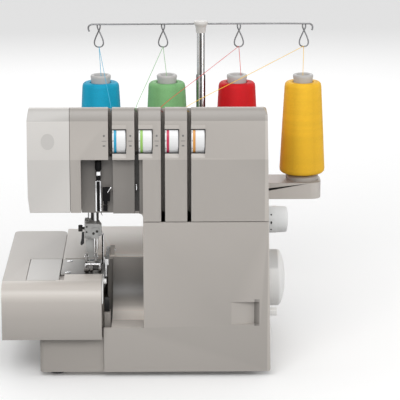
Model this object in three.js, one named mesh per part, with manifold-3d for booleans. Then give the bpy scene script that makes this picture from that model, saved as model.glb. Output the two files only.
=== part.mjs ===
// Four-thread serger (overlock machine) with its spool tray, thread cones and telescopic thread mast.
// Millimetres, +Z up, +X to the operator's right, the operator stands at -Y.
// The origin is under the middle of the machine's box, on the table.

import * as THREE from 'three';
import { mergeVertices } from 'three/addons/utils/BufferGeometryUtils.js';
import Module from 'manifold-3d';

const wasm = await Module();
wasm.setup();

// ---- driving dimensions ----------------------------------------------------------------------------

const WALL = 2.8;                 // moulded covers
const GAP = 0.4;                  // seam between two covers
const RUNNING_GAP = 0.35;         // radial clearance of a pin in its bore
const OVERCUT = 5;                // how far a cutting block passes the face that it opens

const BODY_FRONT = 0;
const BODY_SPLIT = 80;            // seam between front cover and rear shell
const BODY_BACK = 205;
const HEAD_LEFT = -109.2;
const HEAD_BOTTOM = 191.4;
const HEAD_TOP = 308.5;           // front edge of the top, which then falls towards the back
const HEAD_TOP_BACK = 260;
const HEAD_FILLET = 6;            // where the underside of the head runs into the column
const PANEL_BOTTOM = 251.2;       // crease where the dial panel starts to lean back
const PANEL_TOP = 293.6;
const COLUMN_LEFT = -29.7;
const COLUMN_RIGHT_LOW = 112.4;   // the right side is drafted
const COLUMN_RIGHT_HIGH = 107.2;
const COLUMN_BOTTOM = 9.4;
const SEAM_HEIGHT = 180.6;        // horizontal seam over the looper cover
const FACE_LEFT = -156.1;

const BAY_LEFT = -97.6;           // recess with the needle thread guides
const BAY_DEPTH = 16;
const BAY_BOTTOM = 187.4;
const BAY_PANEL_LEFT = -62.8;     // raised panel in the recess
const BAY_PANEL_DEPTH = 12;
const BAY_SLOT_DEPTH = 24;        // the second thread slot is shallower where it runs down the recess

const STATION_PITCH = 28.8;       // one thread slot and one dial per thread
const FIRST_SLOT = -67.4;
const SLOT_WIDTH = 4.6;
const SLOT_DEPTH = 45;
const SLOT_WALL = 2;              // walls of slots and dial pockets inside the head
const WINDOW_WIDTH = 15.2;
const WINDOW_LOW = 257.9;
const WINDOW_HIGH = 284.6;
const DIAL_RADIUS = 20;
const DIAL_Y = 18.8;
const DIAL_Z = 272.6;

const DOOR_LEFT = -74.5;          // looper cover
const DOOR_BOTTOM = 6.4;
const DOOR_CORNER = 3;
const DOOR_LEDGE = 58.2;
const DOOR_HINGE_Y = 7.5;
const DOOR_HINGE_Z = 15;
const DOOR_ROD_RADIUS = 3;
const DOOR_SWING_RADIUS = 12.4;     // room in the side wall for the cover's lower edge as it tips
const SCOOP_LEFT = -66;
const SCOOP_BACK = 95;
const SCOOP_TOP = 113;
const SCOOP_FLOOR = 55;

const BED_TOP = 110;
const BED_LEFT = -187.5;
const BED_BACK = 222;
const BED_FRONT = -8;
const BED_BOTTOM = 47.1;
const BED_ROUNDING = 20;
const ARM_LEFT = -123.9;          // fixed arm that carries the needle plate
const ARM_BACK = 232;
const STEP_LEFT = -86;            // raised rear corner of the arm cover
const STEP_FRONT = 114;
const PLATE_FRONT = 38;
const PLATE_BACK = 98.5;
const PLATE_THICK = 2.6;
const INSET_LEFT = -161;
const INSET_FRONT = 15;
const INSET_BACK = 100;
const EDGE_PLATE_THICK = 1.2;     // bright plate on the right end of the cloth plate
const EDGE_PLATE_RIGHT = DOOR_LEFT - GAP;
const EDGE_PLATE_LEFT = EDGE_PLATE_RIGHT - EDGE_PLATE_THICK;
const EDGE_PLATE_BOTTOM = 88;
const SWING_X = -135;             // upright pivot of the cloth plate
const SWING_Y = 214;

const BASE_LEFT = -146.4;
const BASE_FLOOR = 6;
const BASE_STEP = 46.6;
const BASE_PLATE = 3;
const FOOT_CENTRES = [[-128, 22], [92, 32], [-128, 208], [92, 186]];
const EDGE_LEVER_BOTTOM = 71;     // small black lever beside the cloth plate's end

const SHAFT_Y = 120;              // handwheel and main shaft
const SHAFT_Z = 80.8;
const SHAFT_RADIUS = 6;
const HANDWHEEL_X = 112.8;        // inner face of the wheel
const KNOB_Y = 50;                // stitch length knob
const KNOB_Z = 170;
const BUTTON_Y = 40;              // power button
const BUTTON_Z = 64.1;
const BUTTON_HALF_HEIGHT = 3.7;
const INLET_X = 81;               // mains inlet
const INLET_Z = 38;
const MOTOR_Y = 163;
const MOTOR_Z = 48;
const PULLEY_RADIUS = 26;
const MOTOR_PULLEY_RADIUS = 6.5;
const BELT_LEFT = 88;
const BELT_WIDTH = 6;

const BAR_SIZE = 3.2;             // radius of needle bar and presser bar
const NEEDLE_X = -83.6;
const NEEDLE_Y = 58;
const CLAMP_BOTTOM = 151;         // needle clamp
const CLAMP_TOP = 165.2;
const CLAMP_FRONT = NEEDLE_Y - 7;
const CLAMP_BACK = NEEDLE_Y + 4;
const PRESSER_X = -90;
const PRESSER_Y = 68;
const FEED_BARS = [-96, -90, -84];

const LIFTER_Y = 200;
const LIFTER_Z = 185.6;

const TRAY_TOP = 171.5;
const TRAY_BOTTOM = 151.4;
const TRAY_LEFT = -107.6;
const TRAY_RIGHT = 182.6;
const TRAY_FRONT = 212;
const TRAY_BACK = 256;
const CONE_Y = 235.5;
const CONE_CENTRES = [-82.4, -3.1, 81, 160.4];
const CONE_BASE = 180;
const CONE_TOP = 291.2;
const CONE_BASE_RADIUS = 27.3;
const CONE_TOP_RADIUS = 22;
const CORE_TOP = 300.4;
const CORE_RADIUS = 12.2;

const MAST_X = 37.6;
const MAST_RADIUS = 5.6;
const MAST_INNER_RADIUS = 4.65;
const MAST_SPLIT = 300;           // top of the outer tube
const BAR_Z = 361.2;              // axis of the wire bar
const BAR_RADIUS = 1.3;
const EYE_WIRE_RADIUS = 0.9;
const EYE_BOTTOM = 333;
const EYE_CENTRES = [-84, -7.4, 83.1, 160.8];
const THREAD_START = [0.6, 0, 5, -0.3];   // where a thread leaves its core, beside the cone's axis
const THREAD_RADIUS = 0.4;
const MAST_TOP = 365;
const CAP_BOTTOM = 351;
const CAP_SEAT = 357.4;           // how far the inner tube reaches into the cap

const MODEL_RIGHT = CONE_CENTRES[3] + CONE_BASE_RADIUS;
const MODEL_BACK = CONE_Y + CONE_BASE_RADIUS;

// ---- colours ---------------------------------------------------------------------------------------

function finish(color, roughness, metalness) {
  return new THREE.MeshStandardMaterial({ color, roughness, metalness });
}

const bodyPlastic = () => finish(0xb3aea8, 0.45, 0);
const palePlastic = () => finish(0xd2d0cc, 0.45, 0);
const darkPlastic = () => finish(0x98938c, 0.5, 0);
const whitePlastic = () => finish(0xe6e6e4, 0.4, 0);
const blackPlastic = () => finish(0x1a1a1b, 0.5, 0);
const rubber = () => finish(0x232323, 0.9, 0);
const castMetal = () => finish(0x9fa2a4, 0.55, 0.8);
const chrome = () => finish(0xd8dadc, 0.12, 1);
const steel = () => finish(0xb4b6b8, 0.3, 1);
const THREAD_COLOURS = [0x1496bf, 0x6fb574, 0xc4161f, 0xf5ac1c];

// ---- geometry helpers ------------------------------------------------------------------------------

function solid(geometry) {
  const bare = new THREE.BufferGeometry();
  bare.setAttribute('position', geometry.getAttribute('position'));
  bare.setIndex(geometry.getIndex());
  const merged = mergeVertices(bare, 1e-4);
  return new wasm.Manifold(new wasm.Mesh({
    numProp: 3,
    vertProperties: Float32Array.from(merged.getAttribute('position').array),
    triVerts: Uint32Array.from(merged.getIndex().array),
  }));
}

function surface(body) {
  const mesh = body.getMesh();
  const geometry = new THREE.BufferGeometry();
  geometry.setAttribute('position', new THREE.BufferAttribute(mesh.vertProperties, 3));
  geometry.setIndex(new THREE.BufferAttribute(mesh.triVerts, 1));
  return geometry;
}

const join = (...parts) => surface(wasm.Manifold.union(parts.map(solid)));
const cut = (first, ...others) => surface(wasm.Manifold.difference([first, ...others].map(solid)));
const common = (first, second) => surface(solid(first).intersect(solid(second)));

function block(x0, x1, y0, y1, z0, z1) {
  const geometry = new THREE.BoxGeometry(x1 - x0, y1 - y0, z1 - z0);
  return geometry.translate((x0 + x1) / 2, (y0 + y1) / 2, (z0 + z1) / 2);
}

// A round bar along an axis; the centre is given by its two other coordinates, in x, y, z order.
function rod(axis, radius, from, to, [first, second], sides = 20, endRadius = radius) {
  const geometry = new THREE.CylinderGeometry(endRadius, radius, to - from, sides);
  const middle = (from + to) / 2;
  if (axis === 'x') return geometry.rotateZ(-Math.PI / 2).translate(middle, first, second);
  if (axis === 'y') return geometry.translate(first, middle, second);
  return geometry.rotateX(Math.PI / 2).translate(first, second, middle);
}

// An outline whose corners are [u, v] or [u, v, radius].
function outline(corners) {
  const shape = new THREE.Shape();
  corners.forEach(([u, v, radius = 0], index) => {
    const corner = new THREE.Vector2(u, v);
    const [beforeU, beforeV] = corners[(index + corners.length - 1) % corners.length];
    const [afterU, afterV] = corners[(index + 1) % corners.length];
    const towards = (pu, pv) => new THREE.Vector2(pu, pv).sub(corner).setLength(radius).add(corner);
    const start = radius ? towards(beforeU, beforeV) : corner;
    if (index === 0) shape.moveTo(start.x, start.y);
    else shape.lineTo(start.x, start.y);
    if (radius) {
      const end = towards(afterU, afterV);
      shape.quadraticCurveTo(u, v, end.x, end.y);
    }
  });
  return shape;
}

// An outline given in the two other coordinates, in x, y, z order, drawn out along an axis.
function prism(axis, corners, from, to, curveSegments = 5) {
  const shape = corners instanceof THREE.Shape ? corners : outline(corners);
  const geometry = new THREE.ExtrudeGeometry(shape, { depth: to - from, bevelEnabled: false, curveSegments });
  if (axis === 'x') return geometry.rotateX(Math.PI / 2).rotateZ(Math.PI / 2).translate(from, 0, 0);
  if (axis === 'y') return geometry.rotateX(Math.PI / 2).translate(0, to, 0);
  return geometry.translate(0, 0, from);
}

// A turned piece about an upright axis; the profile is [radius, height].
function turned(profile, x, y, sides = 28) {
  const points = profile.map(([radius, height]) => new THREE.Vector2(radius, height));
  return new THREE.LatheGeometry(points, sides).rotateX(Math.PI / 2).translate(x, y, 0);
}

// Wire or thread of a round section along a curve.
function wire(curve, radius, steps, sides = 8) {
  const section = new THREE.Shape();
  section.absarc(0, 0, radius, 0, 2 * Math.PI);
  const settings = { steps, curveSegments: sides / 2, extrudePath: curve, bevelEnabled: false };
  return new THREE.ExtrudeGeometry(section, settings);
}

const machine = new THREE.Group();
function piece(name, geometry, material) {
  const mesh = new THREE.Mesh(geometry, material);
  mesh.name = name;
  machine.add(mesh);
}

// ---- body covers -----------------------------------------------------------------------------------

// The outside of head and column: the front view and the side view drawn through each other.
function bodyEnvelope(inset) {
  const frontView = [
    [HEAD_LEFT + inset, HEAD_BOTTOM + inset],
    [COLUMN_LEFT + inset, HEAD_BOTTOM + inset, HEAD_FILLET],
    [COLUMN_LEFT + inset, COLUMN_BOTTOM - inset],
    [COLUMN_RIGHT_LOW - inset, COLUMN_BOTTOM - inset],
    [COLUMN_RIGHT_HIGH - inset, HEAD_TOP - 9 - inset],
    [COLUMN_RIGHT_HIGH - 5.5 - inset, HEAD_TOP - inset],
    [HEAD_LEFT + inset, HEAD_TOP - inset],
  ];
  const sideView = [
    [BODY_FRONT + inset, COLUMN_BOTTOM - OVERCUT],
    [BODY_FRONT + inset, PANEL_BOTTOM],
    [BODY_FRONT + 3.5 + inset, PANEL_TOP],
    [BODY_FRONT + 9 + inset, HEAD_TOP - inset, 6],
    [BODY_BACK - inset, HEAD_TOP_BACK - inset, 24],
    [BODY_BACK - inset, COLUMN_BOTTOM - OVERCUT],
  ];
  return common(
    prism('y', frontView, -OVERCUT, BODY_BACK + OVERCUT),
    prism('x', sideView, HEAD_LEFT, COLUMN_RIGHT_LOW),
  );
}

const slotLeft = (station) => FIRST_SLOT + station * STATION_PITCH;
const slotBottom = (station) => [PANEL_BOTTOM, HEAD_BOTTOM, SEAM_HEIGHT, SEAM_HEIGHT][station];
const stations = [0, 1, 2, 3];

function threadSlot(station, wall) {
  const left = slotLeft(station) - wall;
  const right = slotLeft(station) + SLOT_WIDTH + wall;
  const bottom = slotBottom(station) - (station ? OVERCUT : wall);
  if (station !== 1) return block(left, right, -OVERCUT, SLOT_DEPTH + wall, bottom, HEAD_TOP + OVERCUT);
  return join(
    block(left, right, -OVERCUT, SLOT_DEPTH + wall, PANEL_BOTTOM - wall, HEAD_TOP + OVERCUT),
    block(left, right, -OVERCUT, BAY_SLOT_DEPTH + wall, bottom, PANEL_BOTTOM),
  );
}

function dialWindow(station) {
  const left = slotLeft(station) + SLOT_WIDTH - 0.5;
  return block(left, left + WINDOW_WIDTH + 0.5, -OVERCUT, DIAL_Y, WINDOW_LOW, WINDOW_HIGH);
}

// The panel slopes in above and below each window.
function windowSlopes(station) {
  const left = slotLeft(station) + SLOT_WIDTH - 0.5;
  const upperEdge = WINDOW_HIGH + 7.8;
  const lowerEdge = WINDOW_LOW - 4.6;
  const slopes = [
    [-OVERCUT, upperEdge], [2.9, upperEdge], [4.7, WINDOW_HIGH], [2.6, WINDOW_LOW], [0.2, lowerEdge],
    [-OVERCUT, lowerEdge]];
  return prism('x', slopes, left, left + WINDOW_WIDTH + 0.5);
}

function dialPocket(station, wall) {
  const left = slotLeft(station) + SLOT_WIDTH - 0.5;
  const right = left + WINDOW_WIDTH + 0.5;
  const drum = rod('x', DIAL_RADIUS + 1 + wall, left, right + wall, [DIAL_Y, DIAL_Z], 32);
  const behindPanel = block(left - 1, right + OVERCUT, WALL + 0.9, SLOT_DEPTH + wall, 0, HEAD_TOP);
  return common(drum, behindPanel);
}

function dialBore(station) {
  const right = slotLeft(station) + SLOT_WIDTH + WINDOW_WIDTH;
  return rod('x', 3 + RUNNING_GAP, right - 1, right + WALL + 1, [DIAL_Y, DIAL_Z], 12);
}

function bay(wall) {
  const bottom = BAY_BOTTOM - OVERCUT;
  const top = PANEL_BOTTOM + wall;
  return join(
    block(BAY_LEFT - wall, BAY_PANEL_LEFT, -OVERCUT, BAY_DEPTH + wall, bottom, top),
    block(BAY_PANEL_LEFT - 1, COLUMN_LEFT + wall, -OVERCUT, BAY_PANEL_DEPTH + wall, bottom, top),
  );
}

// Closes the second thread slot behind the lower edge of the recess.
function baySlotWall() {
  const left = slotLeft(1) - SLOT_WALL;
  const right = slotLeft(1) + SLOT_WIDTH + SLOT_WALL;
  return join(
    block(left, right, BAY_PANEL_DEPTH, BAY_SLOT_DEPTH + SLOT_WALL, BAY_BOTTOM, HEAD_BOTTOM + WALL),
    block(left, right, BAY_SLOT_DEPTH, BAY_SLOT_DEPTH + SLOT_WALL, BAY_BOTTOM - 3.2, HEAD_BOTTOM),
  );
}

// Hollow curve between the lower edge of the recess and the column.
function bayFillet() {
  const shape = new THREE.Shape();
  shape.moveTo(COLUMN_LEFT - HEAD_FILLET, BAY_BOTTOM + 1);
  shape.lineTo(COLUMN_LEFT + 1, BAY_BOTTOM + 1);
  shape.lineTo(COLUMN_LEFT + 1, BAY_BOTTOM - HEAD_FILLET);
  shape.lineTo(COLUMN_LEFT, BAY_BOTTOM - HEAD_FILLET);
  shape.quadraticCurveTo(COLUMN_LEFT, BAY_BOTTOM, COLUMN_LEFT - HEAD_FILLET, BAY_BOTTOM);
  return prism('y', shape, BAY_PANEL_DEPTH, BAY_DEPTH + WALL);
}

function frontCover() {
  const right = COLUMN_RIGHT_LOW;
  const covers = common(
    bodyEnvelope(0),
    join(
      block(HEAD_LEFT, right, -1, BODY_SPLIT, HEAD_BOTTOM, HEAD_TOP),
      block(COLUMN_LEFT - HEAD_FILLET, right, -1, BODY_SPLIT, SEAM_HEIGHT + GAP, HEAD_BOTTOM + 1),
    ),
  );
  const apron = (x0, x1, depth) => block(x0, x1, BAY_PANEL_DEPTH, depth, BAY_BOTTOM, HEAD_BOTTOM + WALL);
  const shell = join(covers, apron(BAY_LEFT, COLUMN_LEFT + 1, BAY_DEPTH + WALL), baySlotWall(), bayFillet());
  const besideWindow = (station) => {
    const left = slotLeft(station) + SLOT_WIDTH + WINDOW_WIDTH;
    return block(left, left + STATION_PITCH - WINDOW_WIDTH, -OVERCUT, 24, WINDOW_LOW, WINDOW_HIGH);
  };
  const hollow = cut(
    bodyEnvelope(WALL),
    bay(WALL),
    ...stations.map((station) => threadSlot(station, SLOT_WALL)),
    ...stations.map((station) => dialPocket(station, SLOT_WALL)),
    ...stations.slice(0, 3).map(besideWindow),
  );
  const barBushing = (x, y) => rod('z', BAR_SIZE * 2, HEAD_BOTTOM - 1, HEAD_BOTTOM + WALL + 1, [x, y]);
  const openings = stations.flatMap((station) => [
    threadSlot(station, 0),
    dialWindow(station),
    windowSlopes(station),
    dialPocket(station, 0),
    dialBore(station),
  ]);
  return cut(
    shell, hollow, bay(0), barBushing(NEEDLE_X, NEEDLE_Y), barBushing(PRESSER_X, PRESSER_Y), ...openings);
}

function gripPocket(wall) {
  return block(-62 - wall, 62 + wall, 138 - wall, 172 + wall, 246 - wall, HEAD_TOP + OVERCUT);
}

function rearShell() {
  const outer = common(
    bodyEnvelope(0),
    join(
      block(HEAD_LEFT, COLUMN_RIGHT_LOW, BODY_SPLIT + GAP, BODY_BACK + 1, HEAD_BOTTOM, HEAD_TOP),
      block(COLUMN_LEFT, COLUMN_RIGHT_LOW, SCOOP_BACK + 1, BODY_BACK + 1, COLUMN_BOTTOM, HEAD_BOTTOM + 1),
      block(COLUMN_LEFT, COLUMN_RIGHT_LOW, BODY_SPLIT + GAP, BODY_BACK, SEAM_HEIGHT, HEAD_BOTTOM + 1),
      block(60, COLUMN_RIGHT_LOW, 5, SCOOP_BACK + 2, COLUMN_BOTTOM, SEAM_HEIGHT - 1),
    ),
  );
  const hollow = cut(bodyEnvelope(WALL), gripPocket(WALL));
  const frontHollow = block(59, COLUMN_RIGHT_LOW - 10, 0, SCOOP_BACK + 3, 0, SEAM_HEIGHT);
  const throughSide = (radius, centre) => rod('x', radius, 90, 120, centre, 24);
  const buttonHalf = BUTTON_HALF_HEIGHT + 1;
  const buttonOpening = block(
    100, 120, BUTTON_Y - 6, BUTTON_Y + 6, BUTTON_Z - buttonHalf, BUTTON_Z + buttonHalf);
  const inletOpening = block(
    INLET_X - 11, INLET_X + 11, BODY_BACK - OVERCUT, BODY_BACK + 1, INLET_Z - 8, INLET_Z + 8);
  return cut(
    outer, hollow, frontHollow, gripPocket(0),
    throughSide(SHAFT_RADIUS + 2, [SHAFT_Y, SHAFT_Z]),
    throughSide(6, [KNOB_Y, KNOB_Z]),
    throughSide(DOOR_SWING_RADIUS, [DOOR_HINGE_Y, DOOR_HINGE_Z]),
    buttonOpening,
    inletOpening,
  );
}

function faceCover() {
  const right = HEAD_LEFT - GAP;
  const frontView = (inset) => [
    [FACE_LEFT + 2 + inset, HEAD_BOTTOM + inset],
    [right + (inset ? 1 : 0), HEAD_BOTTOM + inset],
    [right + (inset ? 1 : 0), HEAD_TOP - inset],
    [FACE_LEFT + 2.2 + inset, HEAD_TOP - inset, 3],
    [FACE_LEFT + inset, HEAD_TOP - 14],
    [FACE_LEFT + inset, HEAD_BOTTOM + 17],
  ];
  const sideView = (inset) => [
    [BODY_FRONT + inset, HEAD_BOTTOM],
    [BODY_FRONT + inset, PANEL_BOTTOM],
    [BODY_FRONT + 3.5 + inset, PANEL_TOP],
    [BODY_FRONT + 9 + inset, HEAD_TOP - inset, 6],
    [BODY_BACK - inset, HEAD_TOP_BACK - inset, 24],
    [BODY_BACK - inset, HEAD_BOTTOM],
  ];
  const form = (inset) => common(
    prism('y', frontView(inset), -OVERCUT, BODY_BACK + OVERCUT),
    prism('x', sideView(inset), FACE_LEFT - 1, HEAD_LEFT + 2),
  );
  return cut(form(0), form(WALL));
}

function baseShell() {
  const right = COLUMN_RIGHT_LOW;
  const front = 2;
  const floorTop = BASE_FLOOR + BASE_PLATE;
  const plan = [
    [BASE_LEFT, front, 6], [DOOR_LEFT - GAP, front], [DOOR_LEFT - GAP, ARM_BACK], [BASE_LEFT, ARM_BACK, 12]];
  const leftBox = prism('z', plan, BASE_FLOOR, BASE_STEP);
  const leftHollow = block(
    BASE_LEFT + WALL, DOOR_LEFT + 1, front + WALL, ARM_BACK - WALL, floorTop, BASE_STEP - WALL);
  const floor = join(
    block(DOOR_LEFT - 1, right, 19.5, BODY_BACK, BASE_FLOOR, floorTop),
    block(DOOR_LEFT - 1, COLUMN_LEFT, 19.5, ARM_BACK, BASE_FLOOR, floorTop),
  );
  const lugs = [-66, 101].map((left) => join(
    rod('x', DOOR_ROD_RADIUS + 1.3, left, left + 5, [DOOR_HINGE_Y, DOOR_HINGE_Z], 16),
    block(left, left + 5, DOOR_HINGE_Y, 26, DOOR_HINGE_Z - 3, DOOR_HINGE_Z + 3),
    block(left, left + 5, 20, 26, BASE_FLOOR + 1, DOOR_HINGE_Z + 3),
  ));
  const rodBore = rod('x', DOOR_ROD_RADIUS + RUNNING_GAP, -70, 110, [DOOR_HINGE_Y, DOOR_HINGE_Z], 16);
  const pivotPin = rod('z', 4, BASE_STEP - 1, BED_TOP - 10, [SWING_X, SWING_Y], 20);
  const leverPost = block(-74.2, -67.2, 20, 32, BASE_FLOOR + 1, EDGE_LEVER_BOTTOM - 0.6);
  return join(cut(join(cut(leftBox, leftHollow), floor, leverPost, ...lugs), rodBore), pivotPin);
}

// Fixed arm under the needle plate, with the bed behind it and behind the scoop.
function armCover() {
  const right = COLUMN_LEFT - GAP;
  const outer = join(
    block(ARM_LEFT, right, PLATE_BACK + GAP, ARM_BACK, BASE_STEP + GAP, BED_TOP),
    block(DOOR_LEFT + 1, right, PLATE_BACK + GAP, ARM_BACK, COLUMN_BOTTOM, SCOOP_TOP),
    block(ARM_LEFT, DOOR_LEFT - 1, PLATE_FRONT, ARM_BACK - 1, BASE_STEP + GAP, BED_TOP - PLATE_THICK - GAP),
    block(STEP_LEFT, right, STEP_FRONT, ARM_BACK, BED_TOP - WALL, SCOOP_TOP),
  );
  const hollow = join(
    block(ARM_LEFT + WALL, DOOR_LEFT + 5, PLATE_BACK + 3, ARM_BACK - WALL, 0, BED_TOP - WALL),
    block(DOOR_LEFT + 1 + WALL, right - WALL, PLATE_BACK + 3, ARM_BACK - WALL, 0, SCOOP_TOP - WALL),
    block(ARM_LEFT + WALL, DOOR_LEFT + 2, PLATE_FRONT + WALL, PLATE_BACK + 4, 0, BED_TOP + 1),
  );
  const knifeLug = block(-69.4, -64, 102, 113, SCOOP_TOP - 1, 123);
  const knifeBore = rod('x', 2 + RUNNING_GAP, -71, -62, [107.5, 118.4], 12);
  return cut(join(cut(outer, hollow), knifeLug), knifeBore);
}

// ---- cloth plate -----------------------------------------------------------------------------------

function insetOpening(gap) {
  const bottom = BED_TOP - PLATE_THICK - gap;
  return block(
    INSET_LEFT - gap, ARM_LEFT + OVERCUT, INSET_FRONT - gap, INSET_BACK + gap, bottom, BED_TOP + 1);
}

function clothPlateTop() {
  const front = BED_FRONT + BED_ROUNDING + GAP;
  const right = ARM_LEFT - GAP;
  const frontRight = EDGE_PLATE_LEFT - GAP;
  const skirtTop = BED_TOP - 6.5;
  const plan = [
    [BED_LEFT, front], [frontRight, front], [frontRight, PLATE_FRONT - 1],
    [right, PLATE_FRONT - 1], [right, BED_BACK, 10], [BED_LEFT, BED_BACK, 8]];
  const inside = block(BED_LEFT + WALL, right - WALL, front - 1, BED_BACK + 1, BED_BOTTOM - 1, skirtTop);
  const frontCut = block(BED_LEFT + WALL, DOOR_LEFT, front - 1, PLATE_FRONT, BED_BOTTOM - 1, skirtTop);
  const rightSkirt = block(right - WALL - 1, right + 1, 0, BED_BACK + 1, BED_BOTTOM - 1, skirtTop);
  const sleeve = rod('z', 7.5, BED_BOTTOM + 2, BED_TOP - 3, [SWING_X, SWING_Y - 1], 20);
  const bore = rod('z', 4 + RUNNING_GAP, BED_BOTTOM, BED_TOP - 9, [SWING_X, SWING_Y], 20);
  const shell = cut(prism('z', plan, BED_BOTTOM, BED_TOP), inside, frontCut, rightSkirt);
  return cut(join(shell, sleeve), bore, insetOpening(GAP));
}

function clothPlateFront() {
  const profile = (inset) => [
    [BED_FRONT + inset, BED_BOTTOM - (inset ? 1 : 0)],
    [BED_FRONT + inset, BED_TOP - inset, BED_ROUNDING - inset],
    [BED_FRONT + BED_ROUNDING + (inset ? 1 : 0), BED_TOP - inset],
    [BED_FRONT + BED_ROUNDING + (inset ? 1 : 0), BED_BOTTOM - (inset ? 1 : 0)],
  ];
  const right = EDGE_PLATE_LEFT - GAP;
  const hollow = prism('x', profile(WALL), BED_LEFT + WALL, right - WALL, 8);
  const rearOpening = block(BED_LEFT + WALL, right - WALL, 8, 14, BED_BOTTOM - 1, BED_TOP - WALL);
  return cut(prism('x', profile(0), BED_LEFT, right, 8), hollow, rearOpening);
}

// Bright end plate on the right edge of the cloth plate, with its small locating nub.
function edgePlate() {
  const top = BED_TOP - GAP;
  const back = PLATE_FRONT - 1;
  const bottom = EDGE_PLATE_BOTTOM;
  const sideView = [[-6, bottom], [-6, top, 14], [back, top], [back, top - 7], [12, bottom]];
  const blade = prism('x', sideView, EDGE_PLATE_LEFT, EDGE_PLATE_RIGHT);
  const nub = rod('x', 3, EDGE_PLATE_LEFT + 0.6, EDGE_PLATE_RIGHT + 3.4, [22, top - 3.4], 14);
  return join(blade, nub);
}

const clothPlateInset = () => block(
  INSET_LEFT, ARM_LEFT - GAP - 0.2, INSET_FRONT, INSET_BACK, BED_TOP - PLATE_THICK, BED_TOP);

function needlePlate() {
  const left = ARM_LEFT - GAP + 0.6;
  const plate = block(left, DOOR_LEFT - GAP, PLATE_FRONT, PLATE_BACK, BED_TOP - PLATE_THICK, BED_TOP);
  const needleHole = block(NEEDLE_X - 5, NEEDLE_X + 3, NEEDLE_Y - 4, NEEDLE_Y + 5, 0, BED_TOP + 1);
  const feedSlot = (x) => block(x - 1.6, x + 1.6, NEEDLE_Y + 9, NEEDLE_Y + 33, 0, BED_TOP + 1);
  return cut(plate, needleHole, ...FEED_BARS.map(feedSlot));
}

// ---- looper cover: front panel, scoop and hinge ----------------------------------------------------

// Finger recess in the panel: a long ramp down to the right and a steep face back up.
function thumbRecess(wall) {
  const plan = [
    [62, -1 + wall / 2], [94, 6.2 + wall], [99.4 + wall, 0.6 + wall], [99.4 + wall, -1], [62, -1]];
  return prism('z', plan, 61.5 - wall, 87.8 + wall);
}

function looperCover() {
  const top = SEAM_HEIGHT - 0.5;
  const right = COLUMN_RIGHT_LOW;
  const draft = (COLUMN_RIGHT_LOW - COLUMN_RIGHT_HIGH) / (HEAD_TOP - 9 - COLUMN_BOTTOM);
  const panelView = [
    [DOOR_LEFT, DOOR_BOTTOM], [right, DOOR_BOTTOM, DOOR_CORNER], [right - draft * (top - COLUMN_BOTTOM), top],
    [COLUMN_LEFT, top], [COLUMN_LEFT, DOOR_LEDGE], [DOOR_LEFT, DOOR_LEDGE]];
  const panel = prism('y', panelView, BODY_FRONT, BODY_FRONT + WALL);
  const scoopSide = new THREE.Shape();
  scoopSide.moveTo(1, DOOR_LEDGE - 4);
  scoopSide.lineTo(1, DOOR_LEDGE);
  scoopSide.lineTo(30, DOOR_LEDGE);
  scoopSide.lineTo(32, SCOOP_FLOOR);
  scoopSide.lineTo(48, SCOOP_FLOOR);
  scoopSide.quadraticCurveTo(SCOOP_BACK - WALL, SCOOP_FLOOR, SCOOP_BACK - WALL, SCOOP_TOP);
  scoopSide.lineTo(SCOOP_BACK, SCOOP_TOP);
  scoopSide.lineTo(SCOOP_BACK, SCOOP_TOP - 3);
  scoopSide.quadraticCurveTo(SCOOP_BACK, SCOOP_FLOOR - WALL, 48, SCOOP_FLOOR - WALL);
  scoopSide.lineTo(30, SCOOP_FLOOR - WALL);
  const scoop = prism('x', scoopSide, SCOOP_LEFT, COLUMN_LEFT + WALL - 1, 8);
  const sideView = new THREE.Shape();
  sideView.moveTo(1, SCOOP_FLOOR - 1);
  sideView.lineTo(SCOOP_BACK, SCOOP_FLOOR - 1);
  const reach = top - DOOR_HINGE_Z - 1;
  const endAngle = Math.acos((SCOOP_BACK - DOOR_HINGE_Y) / reach);
  sideView.absarc(DOOR_HINGE_Y, DOOR_HINGE_Z, reach, endAngle, Math.PI / 2, false);
  sideView.lineTo(1, top - 1);
  const columnSide = prism('x', sideView, COLUMN_LEFT, COLUMN_LEFT + WALL, 6);
  const hingeLugs = [-40, 20, 80].map((left) => join(
    rod('x', 5, left, left + 8, [DOOR_HINGE_Y, DOOR_HINGE_Z], 16),
    block(left, left + 8, 1, DOOR_HINGE_Y, DOOR_HINGE_Z - 5, DOOR_HINGE_Z + 5),
  ));
  const bore = rod('x', DOOR_ROD_RADIUS + RUNNING_GAP, -80, 110, [DOOR_HINGE_Y, DOOR_HINGE_Z], 16);
  const outer = join(panel, scoop, columnSide, thumbRecess(2), ...hingeLugs);
  const inFront = block(0, 110, -OVERCUT, BODY_FRONT, 50, 100);
  return cut(outer, inFront, thumbRecess(0), bore);
}

const looperCoverRod = () => rod('x', DOOR_ROD_RADIUS, -67, 107, [DOOR_HINGE_Y, DOOR_HINGE_Z], 16);

// ---- frame, drive and controls ---------------------------------------------------------------------

// The metal frame: a foot, two upright walls for the main shaft, and the arm that guides the needle bar.
function frameCasting() {
  const foot = block(-16, 76, 100, 196, BASE_FLOOR + BASE_PLATE + GAP, 15);
  const walls = [-16, 70].map((left) => block(left, left + 6, 100, 196, 14, 226));
  const arm = block(-104, 76, 92, 130, 220, 230);
  const riser = block(-104, -71, 84, 100, 220, 272);
  const guide = block(-104, -71, 48, 85, 262, 272);
  const shaftBore = rod('x', SHAFT_RADIUS + RUNNING_GAP, -20, 80, [SHAFT_Y, SHAFT_Z], 20);
  const motorBore = rod('x', 4, 60, 80, [MOTOR_Y, MOTOR_Z], 16);
  const barBore = (x, y) => rod('z', BAR_SIZE + RUNNING_GAP, 250, 280, [x, y], 16);
  return cut(
    join(foot, ...walls, arm, riser, guide),
    shaftBore, motorBore, barBore(NEEDLE_X, NEEDLE_Y), barBore(PRESSER_X, PRESSER_Y));
}

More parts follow.
